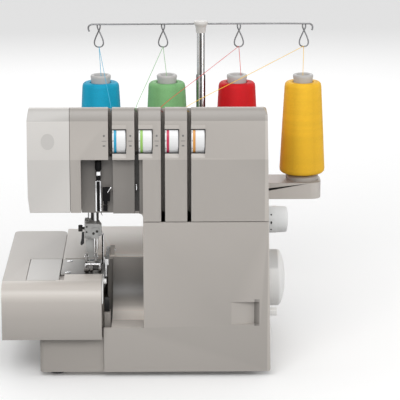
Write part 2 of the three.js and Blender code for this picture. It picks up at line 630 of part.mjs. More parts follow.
function mainShaft() {
  const pulley = rod('x', PULLEY_RADIUS, BELT_LEFT, BELT_LEFT + BELT_WIDTH, [SHAFT_Y, SHAFT_Z], 32);
  return join(rod('x', SHAFT_RADIUS, -24, HANDWHEEL_X - GAP, [SHAFT_Y, SHAFT_Z], 20), pulley);
}

function handwheel() {
  const profile = [[0, 0], [31, 0], [32.6, 1.2], [33, 12], [32, 14.4], [26, 17.8], [14, 20.4], [0, 21.2]];
  const points = profile.map(([radius, height]) => new THREE.Vector2(radius, height));
  return new THREE.LatheGeometry(points, 40).rotateZ(-Math.PI / 2).translate(HANDWHEEL_X, SHAFT_Y, SHAFT_Z);
}

const motor = () => join(
  rod('x', 24, 6, 66, [MOTOR_Y, MOTOR_Z], 28),
  rod('x', 10, 65, 69.6, [MOTOR_Y, MOTOR_Z], 20),
);

const motorPulley = () => join(
  rod('x', 3, 70, BELT_LEFT, [MOTOR_Y, MOTOR_Z], 14),
  rod('x', MOTOR_PULLEY_RADIUS, BELT_LEFT - 0.5, BELT_LEFT + BELT_WIDTH, [MOTOR_Y, MOTOR_Z], 20),
);

// A belt is the space between two loops that wrap both pulleys.
function driveBelt() {
  const across = new THREE.Vector2(MOTOR_Y - SHAFT_Y, MOTOR_Z - SHAFT_Z);
  const loop = (offset) => {
    const large = PULLEY_RADIUS + offset;
    const small = MOTOR_PULLEY_RADIUS + offset;
    const lead = across.angle();
    const spread = Math.acos((large - small) / across.length());
    const shape = new THREE.Shape();
    shape.absarc(SHAFT_Y, SHAFT_Z, large, lead + spread, lead - spread + 2 * Math.PI, false);
    shape.absarc(MOTOR_Y, MOTOR_Z, small, lead - spread, lead + spread, false);
    return shape;
  };
  const belt = loop(GAP + 1.6);
  return cut(
    prism('x', belt, BELT_LEFT + 0.2, BELT_LEFT + BELT_WIDTH - 0.2, 10),
    prism('x', loop(GAP), BELT_LEFT - 1, BELT_LEFT + BELT_WIDTH + 1, 10),
  );
}

function tensionDial(station) {
  const left = slotLeft(station) + SLOT_WIDTH;
  const drum = rod('x', DIAL_RADIUS, left, left + WINDOW_WIDTH - 0.6, [DIAL_Y, DIAL_Z], 36);
  return join(drum, rod('x', 3, left, left + WINDOW_WIDTH + 2, [DIAL_Y, DIAL_Z], 12));
}

function stitchKnob() {
  const profile = [[0, -8], [5.6, -8], [5.6, 0], [15, 0], [15.4, 1], [14.4, 21], [13.4, 22], [0, 22]];
  const points = profile.map(([radius, height]) => new THREE.Vector2(radius, height));
  return new THREE.LatheGeometry(points, 20).rotateZ(-Math.PI / 2).translate(110.2, KNOB_Y, KNOB_Z);
}

function powerButton() {
  const bottom = BUTTON_Z - BUTTON_HALF_HEIGHT;
  const top = BUTTON_Z + BUTTON_HALF_HEIGHT;
  const front = BUTTON_Y - 5.4;
  const back = BUTTON_Y + 5.4;
  return prism('x', [[front, bottom, 2], [back, bottom, 2], [back, top, 2], [front, top, 2]], 103, 121, 3);
}

function mainsInlet() {
  const box = (halfWidth, halfHeight, front, back) => block(
    INLET_X - halfWidth, INLET_X + halfWidth, front, back, INLET_Z - halfHeight, INLET_Z + halfHeight);
  return cut(box(10.6, 7.6, BODY_BACK - 8, BODY_BACK + 1), box(8, 5, BODY_BACK - 6, BODY_BACK + 2));
}

function foot(x, y) {
  const top = BASE_FLOOR - 0.3;
  return turned([[0, 0], [8.5, 0], [9, 1], [8, top], [0, top]], x, y, 16);
}

// ---- sewing parts ----------------------------------------------------------------------------------

const needleBar = () => rod('z', BAR_SIZE, CLAMP_TOP + GAP, 284, [NEEDLE_X, NEEDLE_Y], 16);

// The clamp, its two screws and the two needles.
function needleClamp() {
  const left = NEEDLE_X - 12.6;
  const right = NEEDLE_X + 6.2;
  const frontView = [
    [left, CLAMP_BOTTOM], [left, CLAMP_TOP - 2, 2], [left + 4, CLAMP_TOP], [right, CLAMP_TOP, 3],
    [right, CLAMP_BOTTOM]];
  const plan = [
    [left - 1, CLAMP_FRONT + 5], [NEEDLE_X - 5, CLAMP_FRONT - 1], [right, CLAMP_FRONT - 1],
    [right, CLAMP_BACK], [left - 1, CLAMP_BACK]];
  const body = common(
    prism('y', frontView, CLAMP_FRONT, CLAMP_BACK), prism('z', plan, CLAMP_BOTTOM - 1, CLAMP_TOP + 1));
  const needle = (x, tip) => join(
    rod('z', 1, 132, CLAMP_BOTTOM + 1, [x, NEEDLE_Y - 1], 8),
    rod('z', 0.25, tip, 133, [x, NEEDLE_Y - 1], 8, 0.5),
  );
  const screw = (z) => rod('y', 1.8, CLAMP_FRONT - 2.4, CLAMP_FRONT + 1, [NEEDLE_X - 0.4, z], 10);
  const needles = [needle(NEEDLE_X - 2, 119), needle(NEEDLE_X + 1.2, 121)];
  return join(body, ...needles, screw(CLAMP_BOTTOM + 4), screw(CLAMP_BOTTOM + 11));
}

// Thread guides on the recess wall: a bright strip under a collar, and a black guide with its round nut.
function needleThreadGuide() {
  const back = BAY_DEPTH - GAP;
  const strip = block(-82.2, -75.8, back - 4.8, back, 190, 224.6);
  const neck = rod('z', 2.5, 222, 247, [-78.8, 11.4], 12);
  const collar = rod('z', 3.6, 231.2, 236.4, [-78.8, 11.4], 16);
  const tube = rod('z', 3.6, 237.6, 247.6, [-78.8, 11.4], 16);
  const foot = block(-79.6, -77, 11, back, 240, 244);
  const plate = block(-74.2, -66, 6.6, 9.6, 202.6, 218.6);
  const nut = rod('y', 2.7, 3.6, 7, [-70.8, 211.6], 14);
  const post = block(-76, -69, 9, back, 198, 214);
  const lower = block(-73.8, -68.8, 6.6, 11, 191.4, 199);
  return join(strip, neck, collar, tube, foot, plate, nut, post, lower);
}

const presserBar = () => rod('z', BAR_SIZE, 166.4, 280, [PRESSER_X, PRESSER_Y], 16);

function footHolder() {
  const clamp = prism('z', [
    [-97, 63, 1.5], [-85.4, 63, 1.5], [-85.4, 76, 1.5], [-97, 76, 1.5]], 144, 166, 2);
  const shank = block(-93, -87, 63.6, 72, 121.5, 145);
  return join(clamp, shank);
}

function presserFoot() {
  const soleSide = [[36, 115.5], [37.4, 115.9], [42, 113.4], [79, 113.4], [79, 111.3], [41, 111.3]];
  const sole = prism('x', soleSide, -97, -78);
  const ears = [-97, -86.4].map((left) => block(left, left + 3.2, 62.6, 73.4, 112, 124.4));
  const bridge = block(-97, -83.2, 62.6, 73.4, 112, 118);
  const needleSlot = block(NEEDLE_X - 4.4, NEEDLE_X + 2.8, 50, 62, 100, 130);
  const toeSlot = block(-91.4, -89.6, 30, 50, 100, 130);
  return cut(join(sole, ...ears, bridge), needleSlot, toeSlot);
}

function lifterLever() {
  const hub = rod('x', 5, -122, -114, [LIFTER_Y, LIFTER_Z], 16);
  const armSide = [[198, 181.6], [200, 190.4], [232, 177], [242, 168, 2], [239, 163, 2], [228, 169]];
  const arm = prism('x', armSide, -121, -115, 3);
  const pin = rod('x', 2, -126, -110, [LIFTER_Y, LIFTER_Z], 10);
  return join(hub, arm, pin);
}

const releaseLever = () => prism('y', [
  [-101.8, 137, 1], [-97.6, 139, 1], [-97.6, 151, 1], [-100.4, 151, 1]], 63, 69, 2);

function upperKnife() {
  const blade = prism('x', [[48, 104], [58, 108], [60, 124], [50, 124]], -73.6, -71.6);
  const armSide = [[50, 117], [104, 114.4], [110, 114.4, 2], [112, 122, 2], [104, 123], [50, 124]];
  const arm = prism('x', armSide, -73.6, -69.8, 3);
  const post = block(-77.6, -75.2, 63.4, 68.4, 114.4, 149);
  const web = block(-77.6, -71, 63.4, 68.4, 116, 122);
  return join(blade, arm, post, web, rod('x', 2, -73.6, -63, [107.5, 118.4], 12));
}

const lowerKnife = () => block(-74.6, -73.9, 44, 60, 92, 109.4);

function looper(x, z, y, tilt) {
  const shape = new THREE.Shape();
  shape.moveTo(-3, -3);
  shape.lineTo(3, -3);
  shape.quadraticCurveTo(4, 20, 14, 30);
  shape.lineTo(12.4, 31);
  shape.quadraticCurveTo(-1, 24, -3, 3);
  const arm = prism('y', shape, -1, 1, 6);
  const hub = rod('y', 4.5, -5, 5, [0, 0], 14);
  return join(arm, hub).rotateY(tilt).translate(x, y, z);
}

function feedDog() {
  const bar = (x) => block(x - 1.1, x + 1.1, NEEDLE_Y + 12, NEEDLE_Y + 30, 103, BED_TOP + 0.4);
  const carrier = block(FEED_BARS[0] - 1.5, FEED_BARS[2] + 1.5, NEEDLE_Y + 11, NEEDLE_Y + 31, 97, 104);
  return join(carrier, ...FEED_BARS.map(bar));
}

function edgeLever() {
  const z = EDGE_LEVER_BOTTOM;
  const sideView = [[22, z], [31, z], [31, z + 8], [26, z + 16, 2], [16, z + 18, 2], [17, z + 13]];
  return prism('x', sideView, -74.1, -68.2, 3);
}

// ---- spool tray, cones and thread mast -------------------------------------------------------------

function spoolTray() {
  const plan = (inset) => [
    [TRAY_LEFT + inset, TRAY_FRONT + inset, 14], [TRAY_RIGHT - inset, TRAY_FRONT + inset, 14],
    [TRAY_RIGHT - inset, TRAY_BACK - inset, 14], [TRAY_LEFT + inset, TRAY_BACK - inset, 14]];
  const shell = cut(
    prism('z', plan(0), TRAY_BOTTOM, TRAY_TOP, 6),
    prism('z', plan(WALL), TRAY_BOTTOM - 1, TRAY_TOP - WALL, 6),
  );
  const boss = block(12, 64, BODY_BACK + GAP, TRAY_FRONT + 1, TRAY_BOTTOM + 1, TRAY_TOP - 1);
  const socket = rod('z', 10, TRAY_BOTTOM + 1, TRAY_TOP, [MAST_X, CONE_Y], 20);
  const discs = CONE_CENTRES.map((x) => turned([
    [0, TRAY_TOP - 1], [19, TRAY_TOP - 1], [20, TRAY_TOP + 1], [20, CONE_BASE - 4], [18, CONE_BASE - 2.2],
    [5, CONE_BASE - 1], [3.2, 182], [3.2, 238], [1.5, 242], [0, 242]], x, CONE_Y, 18));
  const bore = rod('z', MAST_RADIUS + 0.3, TRAY_BOTTOM + 4, TRAY_TOP + 1, [MAST_X, CONE_Y], 20);
  return cut(join(shell, boss, socket, ...discs), bore);
}

function coneCore(x) {
  const bottom = CONE_BASE - 0.9;
  return turned([
    [8.4, bottom], [15.4, bottom], [CORE_RADIUS, CORE_TOP - 1.6], [CORE_RADIUS - 0.8, CORE_TOP],
    [CORE_RADIUS - 3, CORE_TOP], [CORE_RADIUS - 3.8, CORE_TOP - 2], [8.4, bottom]], x, CONE_Y, 20);
}

function coneThread(x) {
  return turned([
    [16, CONE_BASE], [CONE_BASE_RADIUS - 3, CONE_BASE], [CONE_BASE_RADIUS, CONE_BASE + 3.4],
    [CONE_TOP_RADIUS + 0.4, CONE_TOP - 4], [CONE_TOP_RADIUS - 2.4, CONE_TOP - 0.8],
    [CORE_RADIUS + 1.6, CONE_TOP], [16, CONE_BASE]], x, CONE_Y, 24);
}

const tubeRing = (outer, inner, from, to) => turned(
  [[inner, from], [outer, from], [outer, to], [inner, to], [inner, from]], MAST_X, CONE_Y, 20);
const mastOuter = () => tubeRing(MAST_RADIUS, MAST_INNER_RADIUS + 0.25, TRAY_BOTTOM + 4.4, MAST_SPLIT);
const mastInner = () => rod('z', MAST_INNER_RADIUS, 186, CAP_SEAT - GAP, [MAST_X, CONE_Y], 20);

// Plastic cap that holds the guide bar on top of the mast.
function mastCap() {
  const cap = turned([
    [0, CAP_BOTTOM], [5.8, CAP_BOTTOM], [6, CAP_BOTTOM + 5.5], [8.4, CAP_BOTTOM + 10], [8.4, MAST_TOP - 1.4],
    [7, MAST_TOP], [0, MAST_TOP]], MAST_X, CONE_Y, 20);
  const seat = rod('z', MAST_INNER_RADIUS + 0.3, CAP_BOTTOM - 1, CAP_SEAT, [MAST_X, CONE_Y], 20);
  const barHole = rod('x', BAR_RADIUS + 0.3, MAST_X - 18, MAST_X + 18, [CONE_Y, BAR_Z], 12);
  return cut(cap, seat, barHole);
}

// One eyelet of wire hanging from the bar: both ends cross below it and open into a teardrop.
function eyelet(x) {
  const at = (dx, dy, z) => new THREE.Vector3(x + dx, CONE_Y + dy, z);
  const side = [
    [1.6, -0.9, BAR_Z], [1.7, -0.9, 357.4], [-0.2, -0.9, 353.4], [-3, -0.4, 347.2], [-5.2, 0, 340.6],
    [-4.4, 0, 335.6]];
  const points = [
    ...side.map(([dx, dy, z]) => at(dx, dy, z)),
    at(0, 0, EYE_BOTTOM + EYE_WIRE_RADIUS),
    ...side.map(([dx, dy, z]) => at(-dx, -dy, z)).reverse(),
  ];
  return wire(new THREE.CatmullRomCurve3(points), EYE_WIRE_RADIUS, 24, 4);
}

function guideBar() {
  const at = (x, dz) => new THREE.Vector3(x, CONE_Y, BAR_Z + dz);
  const points = [
    at(-95.6, -9), at(-96.6, -4), at(-93, -0.4), at(-88, 0), at(-60, 0), at(37, 0), at(140, 0), at(162, 0),
    at(168, -0.4), at(171, -4), at(170, -9)];
  const bar = wire(new THREE.CatmullRomCurve3(points, false, 'centripetal'), BAR_RADIUS, 32, 6);
  return join(bar, ...EYE_CENTRES.map(eyelet));
}

// Threads: up out of the core, through the eyelet and down into the slot of their station.
function thread(index) {
  const x = CONE_CENTRES[index];
  const eye = EYE_CENTRES[index];
  const slot = slotLeft(index) + SLOT_WIDTH / 2;
  const rim = THREAD_START[index];
  const points = [
    new THREE.Vector3(x + rim, CONE_Y, CORE_TOP + 1),
    new THREE.Vector3(eye, CONE_Y + 3.4, EYE_BOTTOM + 3.2),
    new THREE.Vector3(eye, CONE_Y, EYE_BOTTOM + 5.4),
    new THREE.Vector3(eye, CONE_Y - 3.4, EYE_BOTTOM + 4.2),
    new THREE.Vector3(slot, SLOT_DEPTH - 7, HEAD_TOP + 4),
    new THREE.Vector3(slot, SLOT_DEPTH - 8, HEAD_TOP - 12),
  ];
  const path = new THREE.CurvePath();
  points.slice(1).forEach((point, i) => path.add(new THREE.LineCurve3(points[i], point)));
  return wire(path, THREAD_RADIUS, 40, 4);
}

// ---- assembly --------------------------------------------------------------------------------------

piece('base_shell', baseShell(), darkPlastic());
FOOT_CENTRES.forEach(([x, y], i) => piece(`foot_${i + 1}`, foot(x, y), rubber()));
piece('front_cover', frontCover(), bodyPlastic());
piece('rear_shell', rearShell(), bodyPlastic());
piece('face_cover', faceCover(), palePlastic());
piece('arm_cover', armCover(), bodyPlastic());
piece('cloth_plate_top', clothPlateTop(), bodyPlastic());
piece('cloth_plate_front', clothPlateFront(), bodyPlastic());
piece('cloth_plate_edge', edgePlate(), whitePlastic());
piece('cloth_plate_inset', clothPlateInset(), bodyPlastic());
piece('needle_plate', needlePlate(), steel());
piece('looper_cover', looperCover(), bodyPlastic());
piece('looper_cover_rod', looperCoverRod(), steel());
stations.forEach((station) => piece(`tension_dial_${station + 1}`, tensionDial(station), whitePlastic()));
piece('stitch_length_knob', stitchKnob(), whitePlastic());
piece('handwheel', handwheel(), palePlastic());
piece('main_shaft', mainShaft(), steel());
piece('frame_casting', frameCasting(), castMetal());
piece('drive_belt', driveBelt(), rubber());
piece('motor', motor(), castMetal());
piece('motor_pulley', motorPulley(), steel());
piece('power_button', powerButton(), palePlastic());
piece('mains_inlet', mainsInlet(), blackPlastic());
piece('needle_bar', needleBar(), chrome());
piece('needle_clamp', needleClamp(), chrome());
piece('needle_thread_guide', needleThreadGuide(), blackPlastic());
piece('presser_bar', presserBar(), chrome());
piece('foot_holder', footHolder(), steel());
piece('presser_foot', presserFoot(), chrome());
piece('lifter_lever', lifterLever(), bodyPlastic());
piece('foot_release_lever', releaseLever(), blackPlastic());
piece('upper_knife', upperKnife(), steel());
piece('lower_knife', lowerKnife(), steel());
piece('upper_looper', looper(-97, 66, 51, 0.1), steel());
piece('lower_looper', looper(-93, 60, 64, -0.1), steel());
piece('feed_dog', feedDog(), steel());
piece('edge_lever', edgeLever(), blackPlastic());
piece('spool_tray', spoolTray(), bodyPlastic());
CONE_CENTRES.forEach((x, i) => {
  piece(`cone_core_${i + 1}`, coneCore(x), palePlastic());
  piece(`cone_thread_${i + 1}`, coneThread(x), finish(THREAD_COLOURS[i], 0.65, 0));
  piece(`thread_${i + 1}`, thread(i), finish(THREAD_COLOURS[i], 0.7, 0));
});
piece('mast_outer', mastOuter(), chrome());
piece('mast_inner', mastInner(), chrome());
piece('mast_cap', mastCap(), palePlastic());
piece('guide_bar', guideBar(), steel());

machine.position.set(-(BED_LEFT + MODEL_RIGHT) / 2, -(BED_FRONT + MODEL_BACK) / 2, 0);
const model = new THREE.Group();
model.add(machine);

export default model;
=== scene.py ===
"""Looks of the four-thread serger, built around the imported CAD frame. Metres, +Z up, the operator at -Y."""

import math

import bmesh
import bpy
from mathutils import Matrix, Vector


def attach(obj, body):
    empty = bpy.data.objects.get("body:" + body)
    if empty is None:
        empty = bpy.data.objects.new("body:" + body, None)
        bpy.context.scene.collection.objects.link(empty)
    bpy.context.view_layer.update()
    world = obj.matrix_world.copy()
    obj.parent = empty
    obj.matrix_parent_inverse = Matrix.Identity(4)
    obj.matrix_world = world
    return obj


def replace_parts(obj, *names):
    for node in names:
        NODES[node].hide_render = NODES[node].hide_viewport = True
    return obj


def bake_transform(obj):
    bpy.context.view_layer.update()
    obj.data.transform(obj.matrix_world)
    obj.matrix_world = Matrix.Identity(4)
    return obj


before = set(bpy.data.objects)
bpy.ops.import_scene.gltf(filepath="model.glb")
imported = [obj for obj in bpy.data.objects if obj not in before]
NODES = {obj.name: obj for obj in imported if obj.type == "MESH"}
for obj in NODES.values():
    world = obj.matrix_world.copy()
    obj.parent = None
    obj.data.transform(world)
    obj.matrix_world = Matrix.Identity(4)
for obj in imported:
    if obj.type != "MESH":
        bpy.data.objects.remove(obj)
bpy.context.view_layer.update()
MM = 0.001
MACHINE_SHIFT = (-0.1, -127.4)     # from the machine's own millimetres to the row frame


def place(x, y, z):
    """A point given in the machine's own millimetres (front plane y = 0, table z = 0) in the row frame."""
    return Vector(((x + MACHINE_SHIFT[0]) * MM, (y + MACHINE_SHIFT[1]) * MM, z * MM))


# ---- camera, light and floor -----------------------------------------------------------------------

CAMERA_PLACE = Vector((0.0, -2.3274, 0.7746))
CAMERA_PITCH = math.radians(14.5)      # looks down on the machine
CAMERA_YAW = math.radians(0.86)        # and a little to the right
CAMERA_LENS = 185.9
CAMERA_SENSOR = 36.0
SKY_BELOW = 0.38
SKY_ABOVE = 0.72
KEY_WATTS = 9
BACK_WATTS = 6
SIDE_WATTS = 6
FLOOR_GLOW = 0.03


def make_camera():
    data = bpy.data.cameras.new("camera")
    data.lens = CAMERA_LENS
    data.sensor_width = CAMERA_SENSOR
    data.clip_start = 0.05
    data.clip_end = 50
    camera = bpy.data.objects.new("camera", data)
    camera.location = CAMERA_PLACE
    camera.rotation_euler = (math.pi / 2 - CAMERA_PITCH, 0, -CAMERA_YAW)
    bpy.context.scene.collection.objects.link(camera)
    bpy.context.scene.camera = camera


def make_light(name, position, target, size, watts):
    data = bpy.data.lights.new(name, "AREA")
    data.shape = "RECTANGLE"
    data.size, data.size_y = size
    data.energy = watts
    light = bpy.data.objects.new(name, data)
    light.location = position
    light.rotation_euler = (Vector(target) - Vector(position)).to_track_quat("-Z", "Y").to_euler()
    bpy.context.scene.collection.objects.link(light)


def make_sky():
    """An even studio room whose light from below is weaker than its light from above."""
    world = bpy.data.worlds.new("studio")
    world.use_nodes = True
    tree = world.node_tree
    backdrop = tree.nodes["Background"]
    source = tree.nodes.new("ShaderNodeTexCoord")
    split = tree.nodes.new("ShaderNodeSeparateXYZ")
    tree.links.new(source.outputs["Generated"], split.inputs[0])
    span = add_node(tree, "ShaderNodeMapRange", Value=split.outputs["Z"], From_Min=-1.0)
    levels = [(0.0, SKY_BELOW), (0.49, SKY_BELOW), (0.51, SKY_ABOVE), (1.0, SKY_ABOVE)]
    tree.links.new(add_ramp(tree, span.outputs["Result"], levels), backdrop.inputs["Color"])
    bpy.context.scene.world = world


def make_card(name, low, high):
    """A dark card outside the picture, for the bright metal to mirror."""
    felt, tree, shader = new_material(f"{name}_felt")
    nap = noise(tree, None, 200.0, 2.0)
    feed(tree, shader.inputs["Base Color"], add_ramp(tree, nap, [(0.3, 0.01), (0.7, 0.02)]))
    feed(tree, shader.inputs["Roughness"], 1)
    make_object(name, lambda form: add_box(form, low, high), felt)


def make_studio():
    bpy.context.scene.view_settings.view_transform = "Standard"
    make_sky()
    make_light("key_light", (-0.2, -1.2, 0.98), (0, 0, 0.2), (1.0, 0.6), KEY_WATTS)
    make_light("back_light", (-0.1, 1.7, 0.95), (0, 0, 0.15), (1.6, 0.7), BACK_WATTS)
    make_light("side_light", (1.5, -0.9, 0.5), (0.08, 0, 0.15), (0.5, 1.2), SIDE_WATTS)
    make_card("card_left", (-1.5, -1.4, 0.0), (-1.48, -0.7, 1.6))
    make_card("card_right", (1.3, -1.9, 0.0), (1.32, -1.35, 1.6))
    paper, tree, shader = new_material("floor_paper")
    fibres = noise(tree, None, 3.0, 3.0)
    feed(tree, shader.inputs["Base Color"], add_ramp(tree, fibres, [(0.3, 0.985), (0.7, 0.995)]))
    feed(tree, shader.inputs["Roughness"], 0.9)
    feed(tree, shader.inputs["Emission Color"], (1, 1, 1, 1))
    feed(tree, shader.inputs["Emission Strength"], FLOOR_GLOW)
    bpy.ops.mesh.primitive_plane_add(size=14, location=(0, 0, 0))
    floor = bpy.context.object
    floor.name = "studio_floor"
    floor.data.materials.append(paper)
    floor.visible_diffuse = False


# ---- material helpers ------------------------------------------------------------------------------


def new_material(name):
    material = bpy.data.materials.new(name)
    material.use_nodes = True
    return material, material.node_tree, material.node_tree.nodes["Principled BSDF"]


def feed(tree, socket, value):
    """Links a socket to another one, or sets it to a fixed value."""
    if isinstance(value, bpy.types.NodeSocket):
        tree.links.new(value, socket)
    elif value is not None:
        socket.default_value = value


def add_node(tree, kind, **inputs):
    node = tree.nodes.new(kind)
    for name, value in inputs.items():
        feed(tree, node.inputs[name.replace("_", " ")], value)
    return node


def calculate(tree, operation, first, second=None):
    node = tree.nodes.new("ShaderNodeMath")
    node.operation = operation
    for socket, value in zip(node.inputs, (first, second)):
        feed(tree, socket, value)
    return node.outputs[0]


def mix_colours(tree, kind, factor, first, second):
    node = tree.nodes.new("ShaderNodeMixRGB")
    node.blend_type = kind
    for socket, value in zip(node.inputs, (factor, first, second)):
        feed(tree, socket, value)
    return node.outputs["Color"]


def add_ramp(tree, factor, stops):
    """A ramp over a pattern; each stop is (position, grey) or (position, colour)."""
    ramp = tree.nodes.new("ShaderNodeValToRGB")
    tree.links.new(factor, ramp.inputs["Fac"])
    while len(ramp.color_ramp.elements) < len(stops):
        ramp.color_ramp.elements.new(0.5)
    for element, (position, value) in zip(ramp.color_ramp.elements, stops):
        element.position = position
        if isinstance(value, (int, float)):
            value = (value, value, value)
        element.color = (*value, 1)
    return ramp.outputs["Color"]


def noise(tree, vector, scale, detail, distortion=0.0):
    texture = add_node(tree, "ShaderNodeTexNoise", Vector=vector, Scale=scale, Detail=detail)
    texture.inputs["Distortion"].default_value = distortion
    return texture.outputs["Fac"]


def coordinates(tree, scale=(1, 1, 1), offset=(0, 0, 0)):
    source = tree.nodes.new("ShaderNodeTexCoord")
    spot = source.outputs["Object"]
    return add_node(tree, "ShaderNodeMapping", Vector=spot, Scale=scale, Location=offset).outputs["Vector"]


def add_bump(tree, shader, height, strength, distance):
    bump = add_node(tree, "ShaderNodeBump", Height=height, Strength=strength, Distance=distance)
    tree.links.new(bump.outputs["Normal"], shader.inputs["Normal"])


def scaled(colour, factor):
    return tuple(min(1.0, part * factor) for part in colour)


def zone_shade(tree, colour, zone):
    """Paints light and shade: multiplies a colour inside a box in machine millimetres by a grey that changes
    along one axis.
    """
    low, high, axis, stops = zone
    low, high = place(*low), place(*high)
    split = add_node(tree, "ShaderNodeSeparateXYZ", Vector=coordinates(tree))
    inside = 1.0
    for index, name in enumerate("XYZ"):
        for operation, limit in (("GREATER_THAN", low[index]), ("LESS_THAN", high[index])):
            test = calculate(tree, operation, split.outputs[name], limit)
            inside = calculate(tree, "MULTIPLY", inside, test)
    start, end = low["XYZ".index(axis)], high["XYZ".index(axis)]
    span = add_node(tree, "ShaderNodeMapRange", Value=split.outputs[axis], From_Min=start, From_Max=end)
    return mix_colours(tree, "MULTIPLY", inside, colour, add_ramp(tree, span.outputs["Result"], stops))


def plastic(name, colour, roughness=0.36, grain=0.12, gloss=0.5, zones=()):
    """Moulded plastic: a fine spark-eroded grain, faint flow clouds and sharp edges a little lighter."""
    material, tree, shader = new_material(name)
    spot = coordinates(tree)
    clouds = noise(tree, spot, 9.0, 3.0)
    tint = add_ramp(tree, clouds, [(0.3, scaled(colour, 0.97)), (0.7, scaled(colour, 1.03))])
    pointed = tree.nodes.new("ShaderNodeNewGeometry").outputs["Pointiness"]
    edges = add_ramp(tree, pointed, [(0.5, 0.0), (0.6, 1.0)])
    shade = mix_colours(tree, "MIX", edges, tint, (*scaled(colour, 1.12), 1))
    # painted light and shade from the zone tables
    for zone in zones:
        shade = zone_shade(tree, shade, zone)
    feed(tree, shader.inputs["Base Color"], shade)
    wear = [(0.25, roughness - 0.04), (0.75, roughness + 0.04)]
    feed(tree, shader.inputs["Roughness"], add_ramp(tree, clouds, wear))
    feed(tree, shader.inputs["Specular IOR Level"], gloss)
    add_bump(tree, shader, noise(tree, spot, 2600.0, 2.0), grain, 0.0002)
    return material


def polished_metal(name, colour, roughness, metallic=1.0, zones=()):
    """Plated or polished metal with faint handling smears."""
    material, tree, shader = new_material(name)
    feed(tree, shader.inputs["Metallic"], metallic)
    spot = coordinates(tree)
    smears = noise(tree, spot, 60.0, 4.0, 0.6)
    shade = add_ramp(tree, smears, [(0.3, scaled(colour, 0.95)), (0.7, colour)])
    # painted light and shade from the zone tables
    for zone in zones:
        shade = zone_shade(tree, shade, zone)
    feed(tree, shader.inputs["Base Color"], shade)
    wear = [(0.3, roughness), (0.75, roughness + 0.08)]
    feed(tree, shader.inputs["Roughness"], add_ramp(tree, smears, wear))
    add_bump(tree, shader, noise(tree, spot, 900.0, 2.0), 0.04, 0.0001)
    return material


def drawn_tube(name, axis_x, radius, reflection_bands):
    """Bright drawn metal with a long polish; painted reflection bands give the grey from its left to its
    right side.
    """
    material, tree, shader = new_material(name)
    feed(tree, shader.inputs["Metallic"], 1)
    left, right = place(axis_x - radius, 0, 0).x, place(axis_x + radius, 0, 0).x
    split = add_node(tree, "ShaderNodeSeparateXYZ", Vector=coordinates(tree))
    across = add_node(tree, "ShaderNodeMapRange", Value=split.outputs["X"], From_Min=left, From_Max=right)
    # painted reflection: grey bands across the tube from its left to its right side
    bands = add_ramp(tree, across.outputs["Result"], reflection_bands)
    lines = noise(tree, coordinates(tree, scale=(900, 900, 12)), 1.0, 3.0)
    shade = add_ramp(tree, lines, [(0.3, 0.85), (0.7, 1.0)])
    feed(tree, shader.inputs["Base Color"], mix_colours(tree, "MULTIPLY", 1, bands, shade))
    feed(tree, shader.inputs["Roughness"], add_ramp(tree, lines, [(0.3, 0.14), (0.7, 0.24)]))
    add_bump(tree, shader, lines, 0.05, 0.0001)
    return material


def ground_steel(name, colour=(0.6, 0.61, 0.62), along="x", roughness=0.28):
    """Ground steel: long fine scratches along one axis."""
    material, tree, shader = new_material(name)
    feed(tree, shader.inputs["Metallic"], 1)
    scale = tuple(60 if axis == along else 2500 for axis in "xyz")
    scratches = noise(tree, coordinates(tree, scale=scale), 1.0, 4.0)
    tint = add_ramp(tree, scratches, [(0.3, scaled(colour, 0.86)), (0.7, scaled(colour, 1.1))])
    feed(tree, shader.inputs["Base Color"], tint)
    wear = [(0.3, roughness - 0.06), (0.7, roughness + 0.1)]
    feed(tree, shader.inputs["Roughness"], add_ramp(tree, scratches, wear))
    add_bump(tree, shader, scratches, 0.1, 0.0001)
    return material


def cast_metal(name, colour=(0.36, 0.37, 0.38)):
    """Sand-cast alloy: coarse grain and small pits."""
    material, tree, shader = new_material(name)
    feed(tree, shader.inputs["Metallic"], 0.85)
    spot = coordinates(tree)
    grain = noise(tree, spot, 420.0, 5.0)
    pits = add_node(tree, "ShaderNodeTexVoronoi", Vector=spot, Scale=260.0)
    tint = add_ramp(tree, grain, [(0.3, scaled(colour, 0.8)), (0.7, scaled(colour, 1.15))])
    feed(tree, shader.inputs["Base Color"], tint)
    feed(tree, shader.inputs["Roughness"], add_ramp(tree, grain, [(0.3, 0.5), (0.7, 0.7)]))
    add_bump(tree, shader, calculate(tree, "ADD", grain, pits.outputs["Distance"]), 0.35, 0.0004)
    return material


def rubber(name, colour=(0.03, 0.03, 0.032)):
    """Dull dusty rubber."""
    material, tree, shader = new_material(name)
    dust = noise(tree, coordinates(tree), 300.0, 4.0)
    tint = add_ramp(tree, dust, [(0.35, colour), (0.75, scaled(colour, 1.9))])
    feed(tree, shader.inputs["Base Color"], tint)
    feed(tree, shader.inputs["Roughness"], add_ramp(tree, dust, [(0.3, 0.75), (0.7, 0.9)]))
    add_bump(tree, shader, dust, 0.2, 0.0002)
    return material


THREAD_TURNS_PER_METRE = 6200.0   # phase per metre of height: threads lie about 1 mm apart
THREAD_LEAN = 3                   # phase per turn, so that the crossing turns meet themselves


